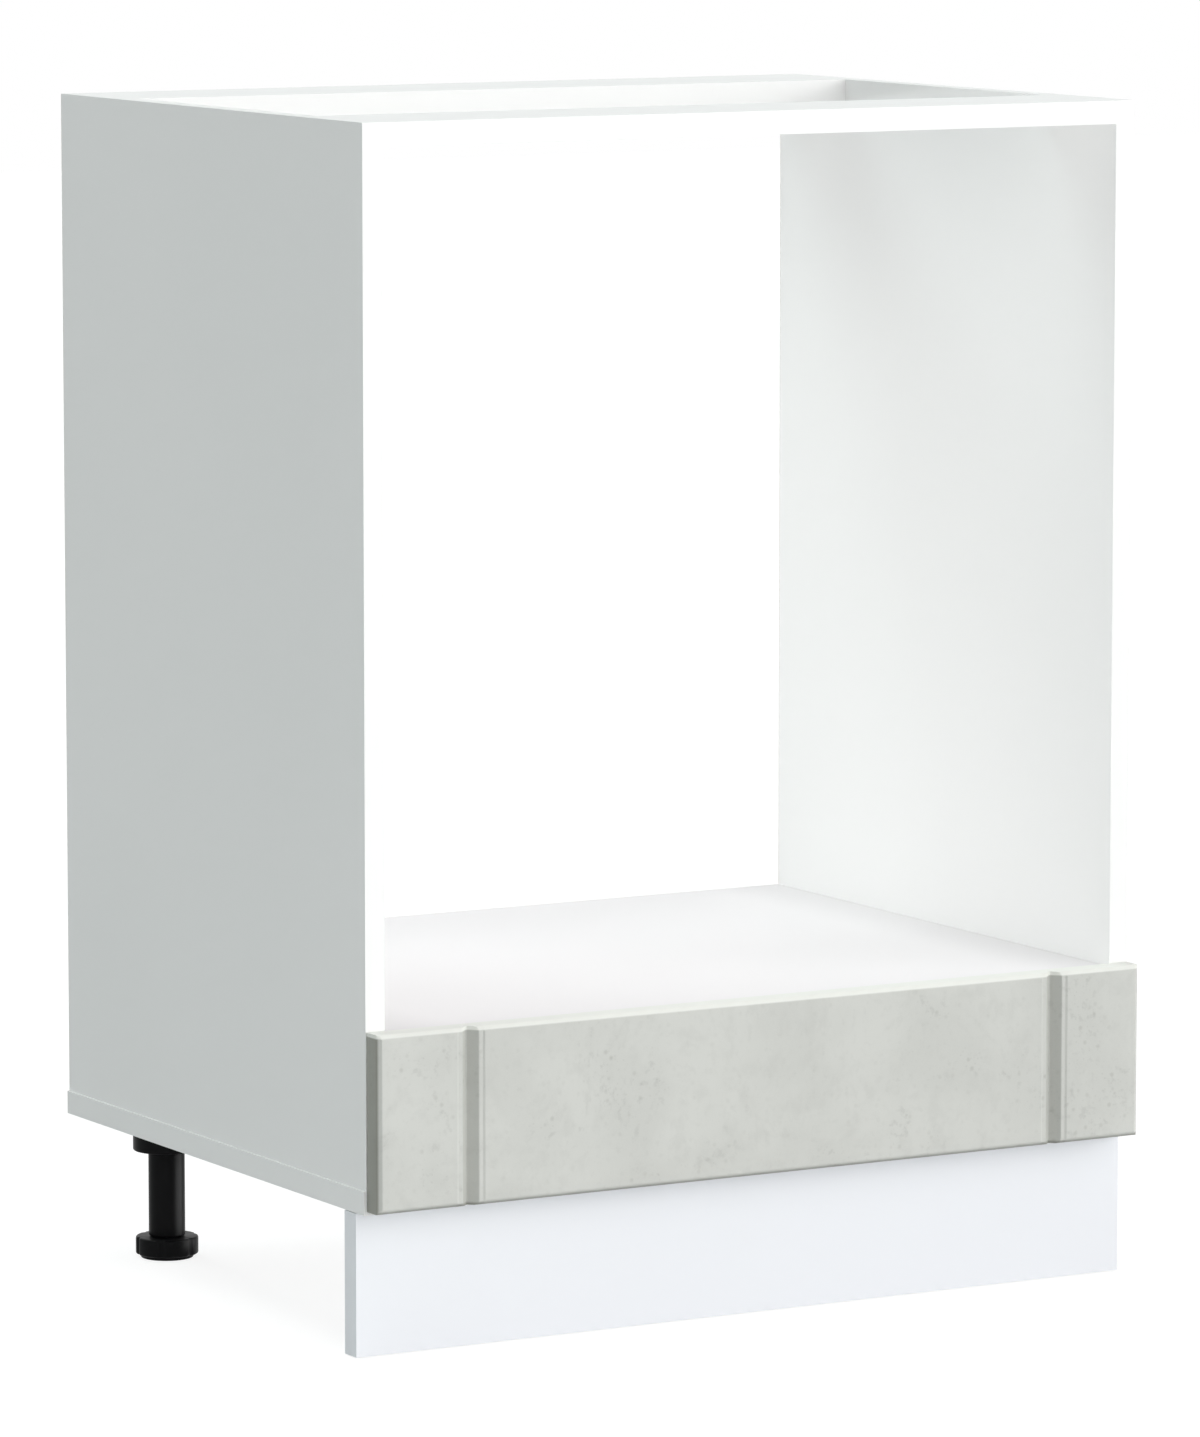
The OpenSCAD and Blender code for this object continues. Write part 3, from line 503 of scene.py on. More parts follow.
def rounded(corners):
    """A profile of (across, up, radius) corners, each rounded by an arc of its radius that
    touches both of its sides. A corner without a radius stays sharp."""
    corners = np.array(corners, float)
    places, radii = corners[:, :2], corners[:, 2]
    made = [places[0]]
    for before, corner, after, radius in zip(places[:-2], places[1:-1], places[2:], radii[1:-1]):
        if radius < SMALLEST:
            made.append(corner)
            continue
        back = (before - corner) / np.linalg.norm(before - corner)
        on = (after - corner) / np.linalg.norm(after - corner)
        half = math.acos(float(np.clip(back @ on, -1, 1))) / 2
        middle = corner + (back + on) / np.linalg.norm(back + on) * radius / math.sin(half)
        reach = radius / math.tan(half)
        first = corner + back * reach - middle
        last = corner + on * reach - middle
        sweep = math.pi - 2 * half
        share = np.linspace(0, 1, ARC_STEPS)[:, None]
        arc = (np.sin((1 - share) * sweep) * first + np.sin(share * sweep) * last) / math.sin(sweep)
        made.extend(middle + arc)
    made.append(places[-1])
    return np.array(made)


def straight(across, up):
    """A straight part of a profile. Either of its places across and up may be a single number."""
    return np.stack(np.broadcast_arrays(across, up), axis=1)


def saw(value):
    """A wave from 0 up to 1 and back to 0 in each unit."""
    return 1 - np.abs(2 * (value % 1) - 1)


def points_and_triangles(name):
    """The points of a frame part, and its triangles as rows of point numbers."""
    mesh = frame["nodes"][name].data
    points = np.zeros(len(mesh.vertices) * 3)
    mesh.vertices.foreach_get("co", points)
    corners = np.zeros(len(mesh.loops), int)
    mesh.loops.foreach_get("vertex_index", corners)
    return points.reshape(-1, 3), corners.reshape(-1, 3)


def solids(name):
    """The lowest and highest corner of each separate solid in a node: triangles that share a
    corner take the lower of their numbers until none changes."""
    points, triangles = points_and_triangles(name)
    keys = np.round(points / SMALLEST).astype(int)
    merged, inverse = np.unique(keys, axis=0, return_inverse=True)
    triangles = inverse.reshape(-1)[triangles]
    label = np.arange(len(merged))
    while True:
        lowest = label[triangles].min(axis=1)
        following = label.copy()
        np.minimum.at(following, triangles, lowest[:, None])
        if np.array_equal(following, label):
            break
        label = following
    groups = [merged[label == mark] * SMALLEST for mark in np.unique(label)]
    return [(group.min(axis=0), group.max(axis=0)) for group in groups]


def body_of(name):
    """The body that carries a node."""
    bodies = frame["record"]["behaviour"]["bodies"]
    return next(body for body, names in bodies.items() if name in names)


def add_piece(name, parts, material, nodes):
    """Joins parts into one mesh that stands for its nodes. Points within a thousandth of a
    millimetre are merged, and faces that fold to a line are left out."""
    counts = np.cumsum([0] + [len(points) for points, _ in parts])
    points = np.concatenate([points for points, _ in parts])
    faces = np.concatenate([faces + start for (_, faces), start in zip(parts, counts)])
    keys = np.round(points / SMALLEST).astype(np.int64)
    merged, first, inverse = np.unique(keys, axis=0, return_index=True, return_inverse=True)
    faces = inverse.reshape(-1)[faces]
    kept = faces != np.roll(faces, -1, axis=1)
    folded = (faces[:, 0] == faces[:, 2]) | (faces[:, 1] == faces[:, 3])
    whole = (kept.sum(axis=1) >= 3) & ~folded
    faces, kept = faces[whole], kept[whole]
    sizes = kept.sum(axis=1)
    mesh = bpy.data.meshes.new(name)
    mesh.vertices.add(len(merged))
    mesh.vertices.foreach_set("co", points[first].ravel())
    mesh.loops.add(int(sizes.sum()))
    mesh.loops.foreach_set("vertex_index", faces[kept])
    mesh.polygons.add(len(faces))
    mesh.polygons.foreach_set("loop_start", np.concatenate([[0], np.cumsum(sizes)[:-1]]))
    mesh.update(calc_edges=True)
    if mesh.validate():
        raise RuntimeError(f"{name} has faces that share the same corners")
    mesh.shade_smooth()
    mesh.set_sharp_from_angle(angle=SMOOTH_BELOW)
    mesh.materials.append(material)
    piece = bpy.data.objects.new(name, mesh)
    bpy.context.scene.collection.objects.link(piece)
    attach(piece, body_of(nodes[0]))
    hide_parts(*nodes)
    return piece


def angle_shading():
    """A node group that shades faces smooth and keeps edges sharper than the limit as edges."""
    group = bpy.data.node_groups.get("Smooth by angle")
    if group:
        return group
    group = bpy.data.node_groups.new("Smooth by angle", "GeometryNodeTree")
    for way in ("INPUT", "OUTPUT"):
        group.interface.new_socket("Geometry", in_out=way, socket_type="NodeSocketGeometry")
    source = node(group, "NodeGroupInput", {})
    angle = node(group, "GeometryNodeInputMeshEdgeAngle", {})
    gentle = node(group, "FunctionNodeCompare", {0: angle, 1: SMOOTH_BELOW}, operation="LESS_EQUAL")
    faces = node(group, "GeometryNodeSetShadeSmooth", {"Geometry": source}, domain="FACE")
    edges = node(group, "GeometryNodeSetShadeSmooth", {
        "Geometry": faces, "Shade Smooth": gentle}, domain="EDGE")
    node(group, "NodeGroupOutput", {0: edges})
    return group


def finish_node(name, material, arris, segments=3):
    """Gives a frame part its material, and finishes its edges."""
    part = frame["nodes"][name]
    part.material_slots[0].material = material
    ease_arrises(part, arris, segments)


def ease_arrises(part, arris, segments=3):
    """Welds a part's triangles, eases its arrises and shades it by angle. The weighting of the
    normals by area keeps the large faces flat beside their arrises."""
    weld = part.modifiers.new("Weld", "WELD")
    weld.merge_threshold = SMALLEST
    bevel = part.modifiers.new("Arris", "BEVEL")
    bevel.width = arris
    bevel.segments = segments
    bevel.limit_method = "ANGLE"
    bevel.angle_limit = SMOOTH_BELOW
    bevel.use_clamp_overlap = True
    shading = part.modifiers.new("Shading", "NODES")
    shading.node_group = angle_shading()
    flat = part.modifiers.new("Flat faces", "WEIGHTED_NORMAL")
    flat.keep_sharp = True


def set_in_side(name, material, settings):
    """A side panel whose outer face is set in. Each point of the frame's panel keeps its place, but
    its distance from the cabinet's middle is held below half the width less the set-in."""
    points, triangles = points_and_triangles(name)
    reach = CAD_BOX[1][0] - settings.side_set_in
    points[:, 0] = np.clip(points[:, 0], -reach, reach)
    faces = np.concatenate([triangles, triangles[:, :1]], axis=1)
    piece = add_piece(f"edged_{name}", [(points, faces)], material, [name])
    ease_arrises(piece, settings.side_arris)


# Drawer front


def edge_profile(settings, thickness):
    """Places in from an edge of the front and the depth of the surface there: from the back edge
    round a softened bevel to the face."""
    bevel, soft = settings.bevel, settings.bevel_softness
    corners = [(0, thickness, 0), (0, bevel, soft), (bevel, 0, soft), (3 * bevel, 0, 0)]
    return rounded(corners)[:-1]


def edge_to_edge(length, edge, inner):
    """Places along the front and the depth at each: the edge's profile, the inner places on the
    face, and the profile again from the other end."""
    places = np.concatenate([edge[:, 0], inner, length - edge[::-1, 0]])
    depths = np.concatenate([edge[:, 1], np.zeros(len(inner)), edge[::-1, 1]])
    return places, depths


def groove_depth(distance, settings):
    """Depth at a distance from the groove's middle. A slope of one in two leads to a shallow ledge,
    and a right-angled V with a small flat goes on from there. A running mean over the foil's
    length then softens the corners."""
    half = settings.groove_width / 2
    deep = settings.groove_middle
    samples = 10
    fine = np.arange(-2 * half, 2 * half, settings.foil / samples)
    ledge = np.clip((half - np.abs(fine)) / 2, 0, settings.groove_step)
    middle = np.clip(deep + settings.groove_flat / 2 - np.abs(fine), 0, deep)
    window = np.ones(samples) / samples
    softened = np.convolve(np.convolve(ledge + middle, window, "same"), window, "same")
    return np.interp(np.abs(distance), fine, softened)


def front_surface(settings):
    """The front is a grid of places across and up. Each point's depth behind the face is the
    larger of its column's and its row's, eased where the two cross. The back is a fan."""
    low, high = np.array(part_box("drawer_front"))
    width, thickness, height = high - low
    edge = edge_profile(settings, thickness)
    face = edge[-1, 0]
    groove, reach = settings.groove_inset, settings.groove_width / 2 + 2 * settings.foil
    groove_steps, end_steps, middle_steps, upward_steps = 110, 8, 24, 14
    grooved = np.linspace(groove - reach, groove + reach, groove_steps)
    end_panel = np.linspace(face, grooved[0], end_steps)[1:-1]
    middle_panel = np.linspace(grooved[-1], width - grooved[-1], middle_steps)[1:-1]
    left = np.concatenate([grooved, end_panel])
    inner = np.sort(np.concatenate([left, width - left, middle_panel]))
    x, column = edge_to_edge(width, edge, inner)
    column = np.maximum(column, groove_depth(np.minimum(x, width - x) - groove, settings))
    z, row = edge_to_edge(height, edge, np.linspace(face, height - face, upward_steps)[1:-1])
    depth_x, depth_z = np.meshgrid(column, row)
    ease = np.minimum(settings.foil, np.minimum(depth_x, depth_z)) + SMALLEST
    crossing = np.clip(ease - np.abs(depth_x - depth_z), 0, None) / ease
    depth = np.minimum(np.maximum(depth_x, depth_z) + crossing ** 2 * ease / 4, thickness)
    across, up = np.meshgrid(x, z)
    points = np.stack([low[0] + across, low[1] + depth, low[2] + up], axis=-1)
    rim = np.concatenate([points[0, :-1], points[:-1, -1], points[-1, :0:-1], points[:0:-1, 0]])
    centre = np.array([[(low[0] + high[0]) / 2, high[1], (low[2] + high[2]) / 2]])
    ring = np.arange(len(rim))
    last = np.full(len(rim), len(rim))
    fan = np.stack([np.roll(ring, -1), ring, last, last], axis=1)
    surface = (points.reshape(-1, 3), grid_faces(*across.shape))
    return [surface, (np.concatenate([rim, centre]), fan)]


# Legs


def leg_box(name):
    """The middle of a round part in plan, its radius, and its lowest and highest levels."""
    low, high = np.array(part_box(name))
    middle = (low + high) / 2
    return np.array([middle[0], middle[1], 0]), (high[0] - low[0]) / 2, low[2], high[2]


def leg_socket(place, settings, screw_places, screw_r, angles=144):
    """A turned cup with three screw recesses: the rim's level rises by the recess depth where a
    point lies nearer to a screw than the screw head's radius."""
    origin, radius, low, high = leg_box(f"leg_socket_{place}")
    play, lip, room, slope = 0.1 * MM, 0.7 * MM, 0.35 * MM, 0.5 * MM
    bore = leg_box(f"leg_tube_{place}")[1] + play
    roof = high - settings.socket_wall
    inside = [(0, roof, 0), (bore, roof, 1 * MM), (bore, low, 0.6 * MM), (bore + lip, low, 0)]
    outside = [
        (radius - lip, low, 0), (radius, low, 1.1 * MM), (radius, high, 0.3 * MM), (0, high, 0)]
    rim = straight(np.linspace(bore + lip, radius - lip, 26)[1:-1], low)
    ring, level = np.hsplit(np.concatenate([rounded(inside), rim, rounded(outside)]), 2)
    points, faces = turned(np.repeat(ring, angles, axis=1), level, origin, (0, 0, 1))
    on_rim = np.abs(points[:, 2] - low) < SMALLEST
    for middle in screw_places:
        away = np.hypot(points[:, 0] - middle[0], points[:, 1] - middle[1])
        sunk = np.clip((screw_r + room - away) / slope, 0, 1)
        points[:, 2] += on_rim * sunk * settings.screw_recess
    return points, faces


def leg_tube(place, settings, angles=96):
    """A turned tube with a rounded lower end. Its radius dips by a Gaussian of the angle where the
    two halves of the mould part."""
    origin, radius, low, high = leg_box(f"leg_tube_{place}")
    bore = radius - settings.tube_wall
    roof = high - settings.tube_wall
    profile = rounded([
        (0, roof, 0), (bore, roof, 1 * MM), (bore, low, 0.4 * MM), (bore + 0.9 * MM, low, 0.4 * MM),
        (radius, low + 0.5 * MM, 1 * MM), (radius, high, 0.8 * MM), (0, high, 0)])
    ring, level = np.hsplit(profile, 2)
    seam_turn, seam_width, seam_depth = 0.9, 0.06, 0.12 * MM
    aside = np.sin(full_circle(angles) - seam_turn) / seam_width
    outer = ring > radius - 0.4 * MM
    return turned(ring - outer * np.exp(-aside ** 2) * seam_depth, level, origin, (0, 0, 1))


def leg_foot(place, settings, angles=168):
    """A pad, a knob and a threaded stem in one turned surface. The knob's radius is the distance to
    its rim, or to the nearer side of a notch circle where that is less. The stem's radius follows a
    saw wave that climbs one pitch in a turn."""
    origin, radius, low, high = leg_box(f"leg_foot_{place}")
    stem = leg_box(f"leg_tube_{place}")[1] - settings.tube_wall - settings.stem_gap
    pad_r = radius - settings.pad_inset
    knob = low + settings.knob
    seat = low + settings.pad
    plain, tip = 0.4 * MM, 1.2 * MM
    body = rounded([
        (0, low, 0), (pad_r, low, 0.6 * MM), (pad_r, seat, 0.2 * MM), (radius, seat, 1.3 * MM),
        (radius, knob, 1.5 * MM), (stem + 0.2 * MM, knob, 0)])
    thread = straight(stem, np.arange(knob + plain, high - tip, settings.pitch / 10))
    end = np.array([[stem - tip, high], [0, high]])
    ring, level = np.hsplit(np.concatenate([body, thread, end]), 2)
    angle = full_circle(angles)
    turn = (angle - settings.notch_turn) * settings.lobes / FULL_TURN
    away = (turn - np.round(turn)) * FULL_TURN / settings.lobes
    middle = radius + settings.notch / 2
    inside = np.clip(settings.notch ** 2 - (middle * np.sin(away)) ** 2, 0, None)
    side = middle * np.cos(away) - np.sqrt(inside)
    rim = np.where(inside > 0, np.minimum(side, radius), radius)
    soft = (np.roll(rim, 1) + rim + np.roll(rim, -1)) / 3
    # The notches fade out over this distance towards the pad
    fade = 2 * MM
    share = np.clip((ring - pad_r + fade) / (radius - pad_r + fade), 0, 1)
    on_knob = (level > seat - SMALLEST) & (level <= knob + SMALLEST)
    on_stem = (level > knob + plain / 2) & (level < high - tip / 2)
    climb = saw(level / settings.pitch - angle / FULL_TURN)
    ring = ring - on_knob * share * (radius - soft) - on_stem * climb * settings.thread
    return turned(ring, level, origin, (0, 0, 1))


# Hardware


def screw(low, high, head_t, shank_r, settings, head_side, angles=32):
    """A screw from its box: a pointed shank whose radius is cut by a climbing saw wave, and a
    rounded head whose top drops into a cross of two smooth bars."""
    axis = int(np.argmax(high - low))
    along = np.zeros(3)
    along[axis] = head_side
    length = high[axis] - low[axis]
    head_r = (high - low)[(axis + 1) % 3] / 2
    tip = (low + high) / 2 - along * length / 2
    shank = length - head_t
    point = 2.2 * shank_r
    crown_r = head_r * 0.78
    bar_width, bar_reach, bar_depth = head_r * 0.16, head_r * 0.62, head_t * 0.6
    run_out, neck = 0.5 * MM, 0.3 * MM
    thread = straight(shank_r, np.arange(point, shank - run_out, settings.pitch / 6))
    start = np.array([[0, 0], [shank_r * 0.5, point / 2]])
    seat = rounded([
        (shank_r, shank - neck, 0), (shank_r, shank, 0), (head_r, shank, 0.15 * head_t),
        (head_r, shank + head_t * 0.55, 0.4 * head_t), (crown_r, length, 0)])
    crown = straight(np.linspace(crown_r, 0, 12)[1:], length)
    ring, level = np.hsplit(np.concatenate([start, thread, seat, crown]), 2)
    angle = full_circle(angles)
    threaded = (level >= point) & (level < shank - neck - SMALLEST)
    cut = saw(level / settings.pitch - angle / FULL_TURN) * settings.thread * shank_r
    ring = ring - threaded * cut
    bar = np.minimum(np.abs(ring * np.cos(angle)), np.abs(ring * np.sin(angle))) / bar_width
    reach = np.clip((bar_reach - ring) / bar_width, 0, 1)
    level = level - (level > length - SMALLEST) * np.exp(-bar ** 4) * reach * bar_depth
    return turned(ring, level, tip, along)


def screws(name, sizes, settings):
    """All screws of a node. Sizes gives for each axis the head's thickness, the shank's radius and
    the way the head points. A sideways screw points towards the cabinet's side or away from it."""
    parts = []
    for low, high in solids(name):
        axis = int(np.argmax(high - low))
        head_t, shank_r, way = sizes[axis]
        side = way * math.copysign(1, low[0] + high[0]) if axis == 0 else way
        parts.append(screw(low, high, head_t * MM, shank_r * MM, settings, side))
    return parts


def roller(name, bore, angles=96):
    """A ring profile turned round the roller's axle: rounded tread, a sunk face on both sides with
    six ribs, and a hub round the bore."""
    low, high = np.array(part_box(name))
    width = high[0] - low[0]
    radius = (high[2] - low[2]) / 2
    hub = bore + 1.3 * MM
    rim = radius - 1.5 * MM
    sunk, soft = 0.7 * MM, 0.2 * MM
    face = rounded([
        (bore, width / 2, 0), (bore, 0, 0.25 * MM), (hub, 0, soft), (hub + 0.3 * MM, sunk, soft),
        (rim - 0.3 * MM, sunk, soft), (rim, 0, soft), (radius, 0, 0.9 * MM),
        (radius, width / 2, 0)])
    other = face[::-1][1:].copy()
    other[:, 1] = width - other[:, 1]
    ring, depth = np.hsplit(np.concatenate([face, other]), 2)
    rib = np.exp(-((np.sin(3 * full_circle(angles)) / 0.3) ** 4))
    nearest = np.minimum(depth, width - depth)
    web = (ring > hub + 0.1 * MM) & (ring < rim - 0.1 * MM) & (nearest < 1 * MM)
    outward = np.where(depth < width / 2, -1.0, 1.0)
    level = depth + web * outward * rib * nearest * 0.75
    origin = np.array([low[0], (low[1] + high[1]) / 2, (low[2] + high[2]) / 2])
    return turned(ring, level, origin, (1, 0, 0))


# Operators


class CABINET_OT_boards(bpy.types.Operator):
    """Finishes the boards of the carcass, the drawer and the plinth"""

    bl_idname = "cabinet.boards"
    bl_label = "Boards"

    def execute(self, context):
        settings = context.scene.cabinet_boards
        (_, front, _), (_, rear, _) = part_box("side_panel_left")
        seam = front + settings.band
        banded = melamine("White melamine with edge band", settings.white, settings, seam, rear)
        plain = melamine("White melamine", settings.white, settings)
        for name in CARCASS_BOARDS:
            arris = settings.joint_arris if name == "bottom_panel" else settings.arris
            finish_node(name, banded, arris)
        wall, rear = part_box("oven_shelf")[1][:2]
        # The shelf takes the darker copy of the facing, as painted shade
        shelf = melamine("Shelf melamine", settings.shaded_shelf_white, settings, seam, rear, wall)
        finish_node("oven_shelf", shelf, settings.arris)
        for name in SIDE_PANELS:
            set_in_side(name, banded, settings)
        for name in DRAWER_BOARDS:
            finish_node(name, plain, settings.arris)
        plinth = melamine("Plinth melamine", settings.plinth_white, settings)
        finish_node("plinth_panel", plinth, settings.arris)
        sheet = hardboard(settings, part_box("drawer_bottom")[1][2])
        finish_node("drawer_bottom", sheet, settings.arris / 3)
        return {"FINISHED"}


class CABINET_OT_front(bpy.types.Operator):
    """Adds the routed drawer front with its rounded edges and two grooves"""

    bl_idname = "cabinet.front"
    bl_label = "Drawer front"

    def execute(self, context):
        settings = context.scene.cabinet_front
        foil = concrete_foil(settings, *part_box("drawer_front"))
        add_piece("routed_front", front_surface(settings), foil, ["drawer_front"])
        return {"FINISHED"}


class CABINET_OT_legs(bpy.types.Operator):
    """Adds the sockets, tubes and lobed feet, and finishes the plinth clips"""

    bl_idname = "cabinet.legs"
    bl_label = "Legs and clips"

    def execute(self, context):
        settings = context.scene.cabinet_legs
        # Injection-moulded polypropylene: its spark-eroded grain scatters most of the gloss
        black = skin(
            "Black polypropylene", settings.black, drift=0.2, patch=12 * MM, grain=settings.grain,
            relief=0.03 * MM, rough=0.34, **{"Specular IOR Level": 0.04})
        boxes = solids("leg_screws")
        middles = [(low + high) / 2 for low, high in boxes]
        head_r = (boxes[0][1][0] - boxes[0][0][0]) / 2
        for place in LEGS:
            for finish, part, surface in (
                ("moulded_socket", "leg_socket", leg_socket(place, settings, middles, head_r)),
                ("moulded_tube", "leg_tube", leg_tube(place, settings)),
                ("lobed_foot", "leg_foot", leg_foot(place, settings)),
            ):
                nodes = [f"{part}_{place}"]
                add_piece(f"{finish}_{place}", [surface], black, nodes)
        for name in CLIPS:
            finish_node(name, black, settings.clip_arris)
        return {"FINISHED"}


class CABINET_OT_hardware(bpy.types.Operator):
    """Finishes the runners and cams, and adds the rollers and the screws"""

    bl_idname = "cabinet.hardware"
    bl_label = "Runners and screws"

    def execute(self, context):
        settings = context.scene.cabinet_hardware
        # Powder-coated sheet steel: a glossy skin with a gentle orange peel
        coat = skin(
            "White epoxy coated steel", settings.epoxy, drift=0.03, patch=30 * MM, grain=1.6 * MM,
            relief=0.04 * MM, rough=0.3)
        for name in RUNNERS:
            finish_node(name, coat, 0.15 * MM, 2)
        # Injection-moulded nylon: milky and softly waxy
        nylon = skin(
            "Natural nylon", settings.nylon, drift=0.04, patch=6 * MM, grain=0.8 * MM,
            relief=0.02 * MM, rough=0.38)
        for name in ROLLERS:
            surface = roller(name, ROLLER_PIN + ROLLER_PLAY)
            add_piece(f"nylon_{name}", [surface], nylon, [name])
        # Electroplated zinc on steel: bright and slightly blue, with an uneven bloom
        plated = skin(
            "Bright zinc plate", settings.plated, drift=0.14, patch=3 * MM, grain=0.5 * MM,
            relief=0.02 * MM, rough=0.3, Metallic=1.0)
        # Die-cast zinc alloy: the dull, slightly mottled skin of a casting
        cast = skin(
            "Die-cast zinc", settings.die_cast, drift=0.14, patch=1.5 * MM, grain=0.5 * MM,
            relief=0.03 * MM, rough=0.46, Metallic=1.0)
        for name, sizes in SCREW_SIZES.items():
            surfaces = screws(name, sizes, settings)
            add_piece(f"threaded_{name}", surfaces, plated, [name])
        for name in ("front_roller_pins", "rear_roller_pins", "cam_locks"):
            finish_node(name, cast, 0.25 * MM)
        finish_node("cam_bolts", plated, 0.2 * MM)
        finish_node("carcass_dowels", beech(settings), 0.2 * MM)
        return {"FINISHED"}


class CABINET_OT_stage(bpy.types.Operator):
    """Adds the floor, the studio light and the camera"""

    bl_idname = "cabinet.stage"
    bl_label = "Stage"

    def execute(self, context):
        settings = context.scene.cabinet_stage
        add_floor(settings)
        light_studio(settings)
        aim_camera(settings)
        return {"FINISHED"}


def seen_directly(tree):
    """One where the camera, a reflection or glass sees the surface, and zero for other light."""
    shown = 0.0
    for ray in ("Is Camera Ray", "Is Glossy Ray", "Is Transmission Ray"):
        seen = node(tree, "ShaderNodeLightPath", {}, ray)
        shown = node(tree, "ShaderNodeMath", {0: shown, 1: seen}, operation="MAXIMUM")
    return shown


def add_floor(settings):
    """A large pale floor. The camera sees it mostly as white, with a light shadow left in it."""
    half = 12.0
    corners = [(-half, -half, 0), (half, -half, 0), (half, half, 0), (-half, half, 0)]
    mesh = bpy.data.meshes.new("Floor")
    mesh.from_pydata(corners, [], [(0, 1, 2, 3)])
    floor = bpy.data.objects.new("Floor", mesh)
    bpy.context.scene.collection.objects.link(floor)
    material, tree, place = new_material("Pale floor")
    drift = node(tree, "ShaderNodeTexNoise", {"Vector": place, "Scale": 1 / (400 * MM)})
    face = node(tree, "ShaderNodeMix", {
        0: drift, 6: shade(settings.floor, 0.98), 7: shade(settings.floor, 1)},
        2, data_type="RGBA")
    plain = node(tree, "ShaderNodeBsdfDiffuse", {"Color": face})
    # The glow and the lit grey add up to white, and a shadow takes from the grey alone
    shadow = node(tree, "ShaderNodeBsdfDiffuse", {"Color": (0.25, 0.25, 0.25, 1)})
    white = node(tree, "ShaderNodeEmission", {"Color": (1, 1, 1, 1), "Strength": 0.85})
    seen = node(tree, "ShaderNodeAddShader", {0: shadow, 1: white})
    shown = node(tree, "ShaderNodeMixShader", {0: seen_directly(tree), 1: plain, 2: seen})
    mesh.materials.append(finished(material, shown))


def light_studio(settings):
    """The world is four soft lights. Each is strongest straight on and falls with the square of the
    cosine. Three wide lamps and a fill behind the open back add to it. A strip beside the rear
    left leg gives it a streak of gloss. What the camera or gloss sees of the studio is white."""
    world = bpy.data.worlds.new("Studio")
    bpy.context.scene.world = world
    world.use_nodes = True
    tree = world.node_tree
    tree.nodes.clear()
    towards = node(tree, "ShaderNodeTexCoord", {}, "Generated")
    light = (0.0, 0.0, 0.0)
    for way, strength, tint in (
        ((0.0, -1.0, 0.0), settings.front_light, (1, 1, 1)),
        ((0.6, -0.8, 0.0), settings.right_light, (1, 1, 1)),
        ((-1.0, 0.0, 0.0), settings.left_light, settings.cool),
        ((-0.6, 0.8, 0.0), settings.rear_light, settings.cool),
    ):
        cosine = node(tree, "ShaderNodeVectorMath", {
            0: towards, 1: way}, "Value", operation="DOT_PRODUCT")
        facing = node(tree, "ShaderNodeMath", {0: cosine, 1: 0.0}, operation="MAXIMUM")
        share = node(tree, "ShaderNodeMath", {0: facing, 1: 2.0}, operation="POWER")
        light = node(tree, "ShaderNodeVectorMath", {
            0: share, 1: shade(tint, strength)[:3], 2: light}, operation="MULTIPLY_ADD")
    colour = node(tree, "ShaderNodeMix", {
        0: seen_directly(tree), 6: light, 7: (1, 1, 1, 1)}, 2, data_type="RGBA")
    background = node(tree, "ShaderNodeBackground", {"Color": colour})
    node(tree, "ShaderNodeOutputWorld", {"Surface": background})
    add_lamp("Key", "SUN", settings.key, (0.8, -0.57, 0.2), gleams=False, angle=settings.key_width)
    add_lamp(
        "Back", "SUN", settings.back, (-0.25, 0.55, 0.8), angle=settings.lamp_width,
        color=settings.cool)
    add_lamp("Top", "SUN", settings.top, (0, 0.12, 1), angle=settings.lamp_width)
    add_lamp(
        "Fill", "SPOT", settings.fill, (-0.17, 2.37, 0), (-0.14, 2.6, 0.42), gleams=False,
        spot_size=math.radians(24), spot_blend=0.5, shadow_soft_size=0.15)
    add_lamp(
        "Gloss strip", "AREA", settings.gloss, (0.77, -0.64, 0), (-0.2, 0.133, 0.036),
        lights=False, shape="RECTANGLE", size=0.055, size_y=0.07)


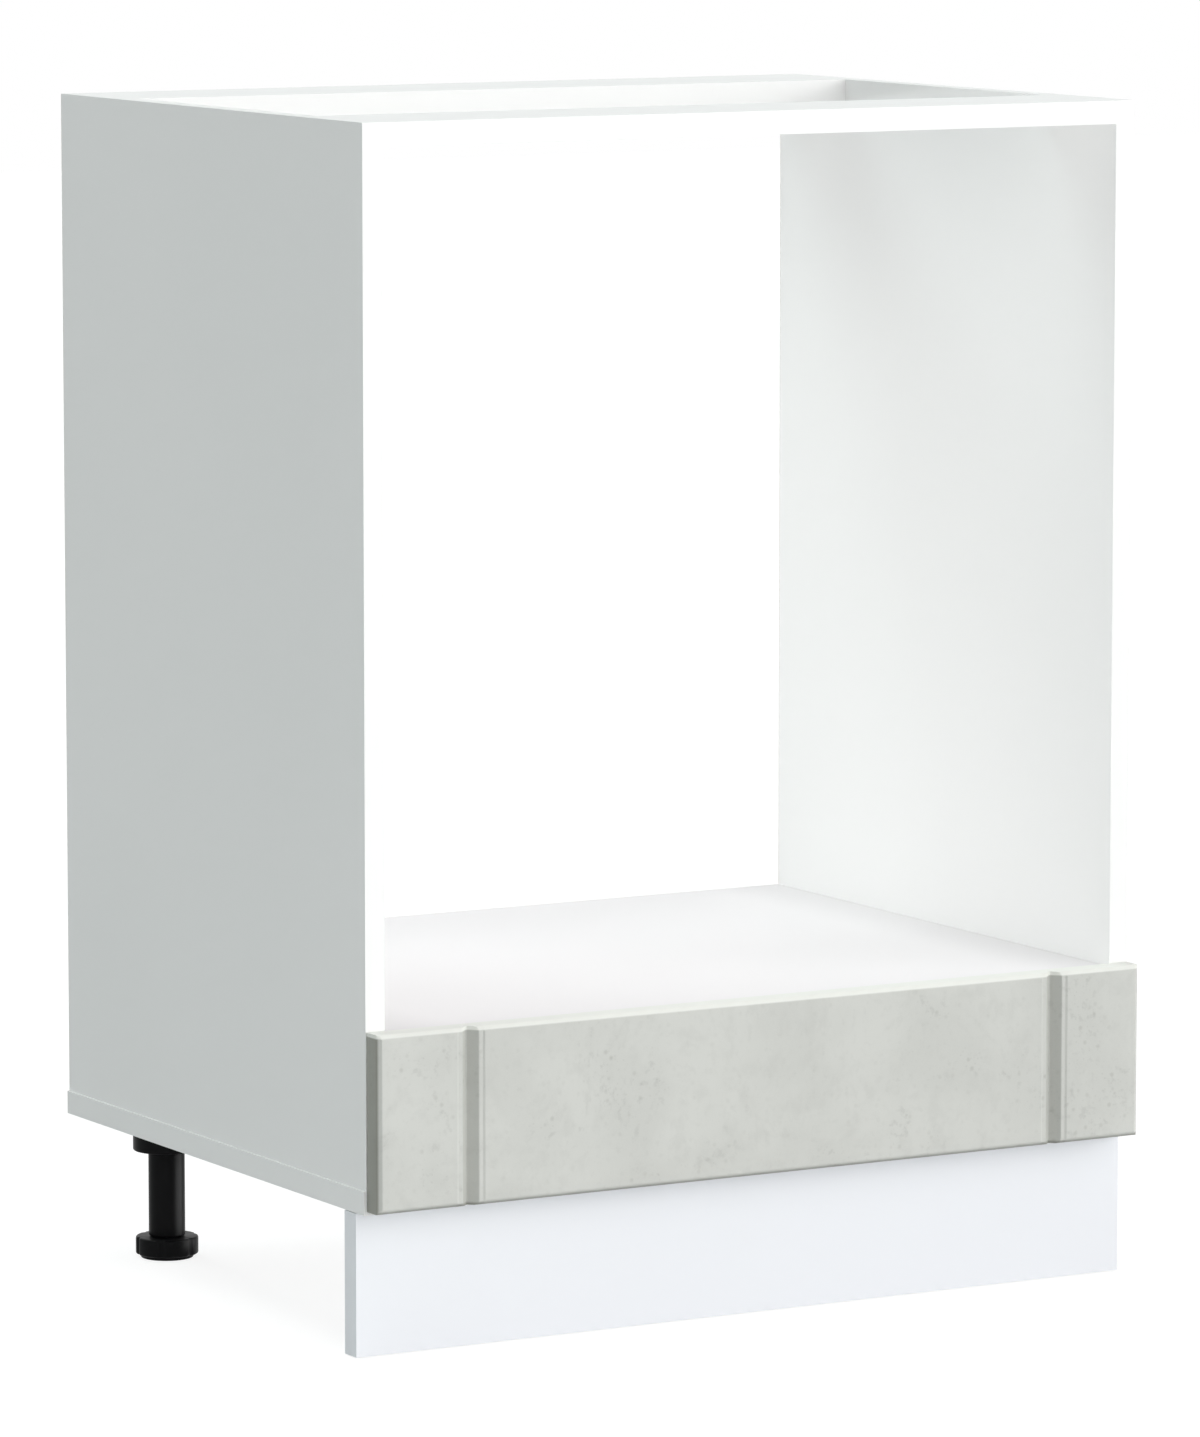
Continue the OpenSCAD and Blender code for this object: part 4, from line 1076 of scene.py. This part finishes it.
def add_lamp(
        name, kind, strength, towards, place=(0, 0, 0), lights=True, gleams=True, **settings):
    """A lamp at a place that shines along the direction from towards to the origin. It isn't seen
    itself: it lights surfaces, or gleams in their gloss, or both."""
    data = bpy.data.lights.new(name, kind)
    data.energy = strength
    for setting, value in settings.items():
        setattr(data, setting, value)
    lamp = bpy.data.objects.new(name, data)
    lamp.location = place
    lamp.rotation_euler = Vector(towards).to_track_quat("Z", "Y").to_euler()
    lamp.visible_camera = False
    lamp.visible_diffuse = lights
    lamp.visible_glossy = gleams
    bpy.context.scene.collection.objects.link(lamp)


def aim_camera(settings):
    """The camera of the reference view, turned by its yaw and pitch."""
    data = bpy.data.cameras.new("Camera")
    data.lens = settings.lens
    data.sensor_width = SENSOR_MM
    data.clip_end = 100
    camera = bpy.data.objects.new("Camera", data)
    camera.location = settings.eye
    camera.rotation_euler = (RIGHT_TURN - settings.pitch, 0, -settings.yaw)
    scene = bpy.context.scene
    scene.collection.objects.link(camera)
    scene.camera = camera
    scene.view_settings.view_transform = "Standard"


class CABINET_PT_panel(bpy.types.Panel):
    """Lists the steps that finish the cabinet"""

    bl_label = "Oven base cabinet"
    bl_idname = "CABINET_PT_panel"
    bl_space_type = "VIEW_3D"
    bl_region_type = "UI"
    bl_category = "Cabinet"

    def draw(self, context):
        for step in STEPS:
            self.layout.operator(step.bl_idname)
        for group in GROUPS:
            settings = getattr(context.scene, group)
            box = self.layout.box()
            for name in settings.bl_rna.properties.keys():
                if name not in ("rna_type", "name"):
                    box.prop(settings, name)


STEPS = (
    CABINET_OT_boards, CABINET_OT_front, CABINET_OT_legs, CABINET_OT_hardware, CABINET_OT_stage)
GROUPS = {
    "cabinet_boards": BoardSettings,
    "cabinet_front": FrontSettings,
    "cabinet_legs": LegSettings,
    "cabinet_hardware": HardwareSettings,
    "cabinet_stage": StageSettings,
}


def register():
    for group, kind in GROUPS.items():
        bpy.utils.register_class(kind)
        setattr(bpy.types.Scene, group, PointerProperty(type=kind))
    for kind in (*STEPS, CABINET_PT_panel):
        bpy.utils.register_class(kind)


def unregister():
    for kind in (CABINET_PT_panel, *reversed(STEPS)):
        bpy.utils.unregister_class(kind)
    for group, kind in reversed(GROUPS.items()):
        delattr(bpy.types.Scene, group)
        bpy.utils.unregister_class(kind)


def main():
    """Registers the classes and finishes the cabinet step by step."""
    register()
    bpy.ops.cabinet.stage()
    bpy.ops.cabinet.boards()
    bpy.ops.cabinet.front()
    bpy.ops.cabinet.legs()
    bpy.ops.cabinet.hardware()


if __name__ == "__main__":
    main()
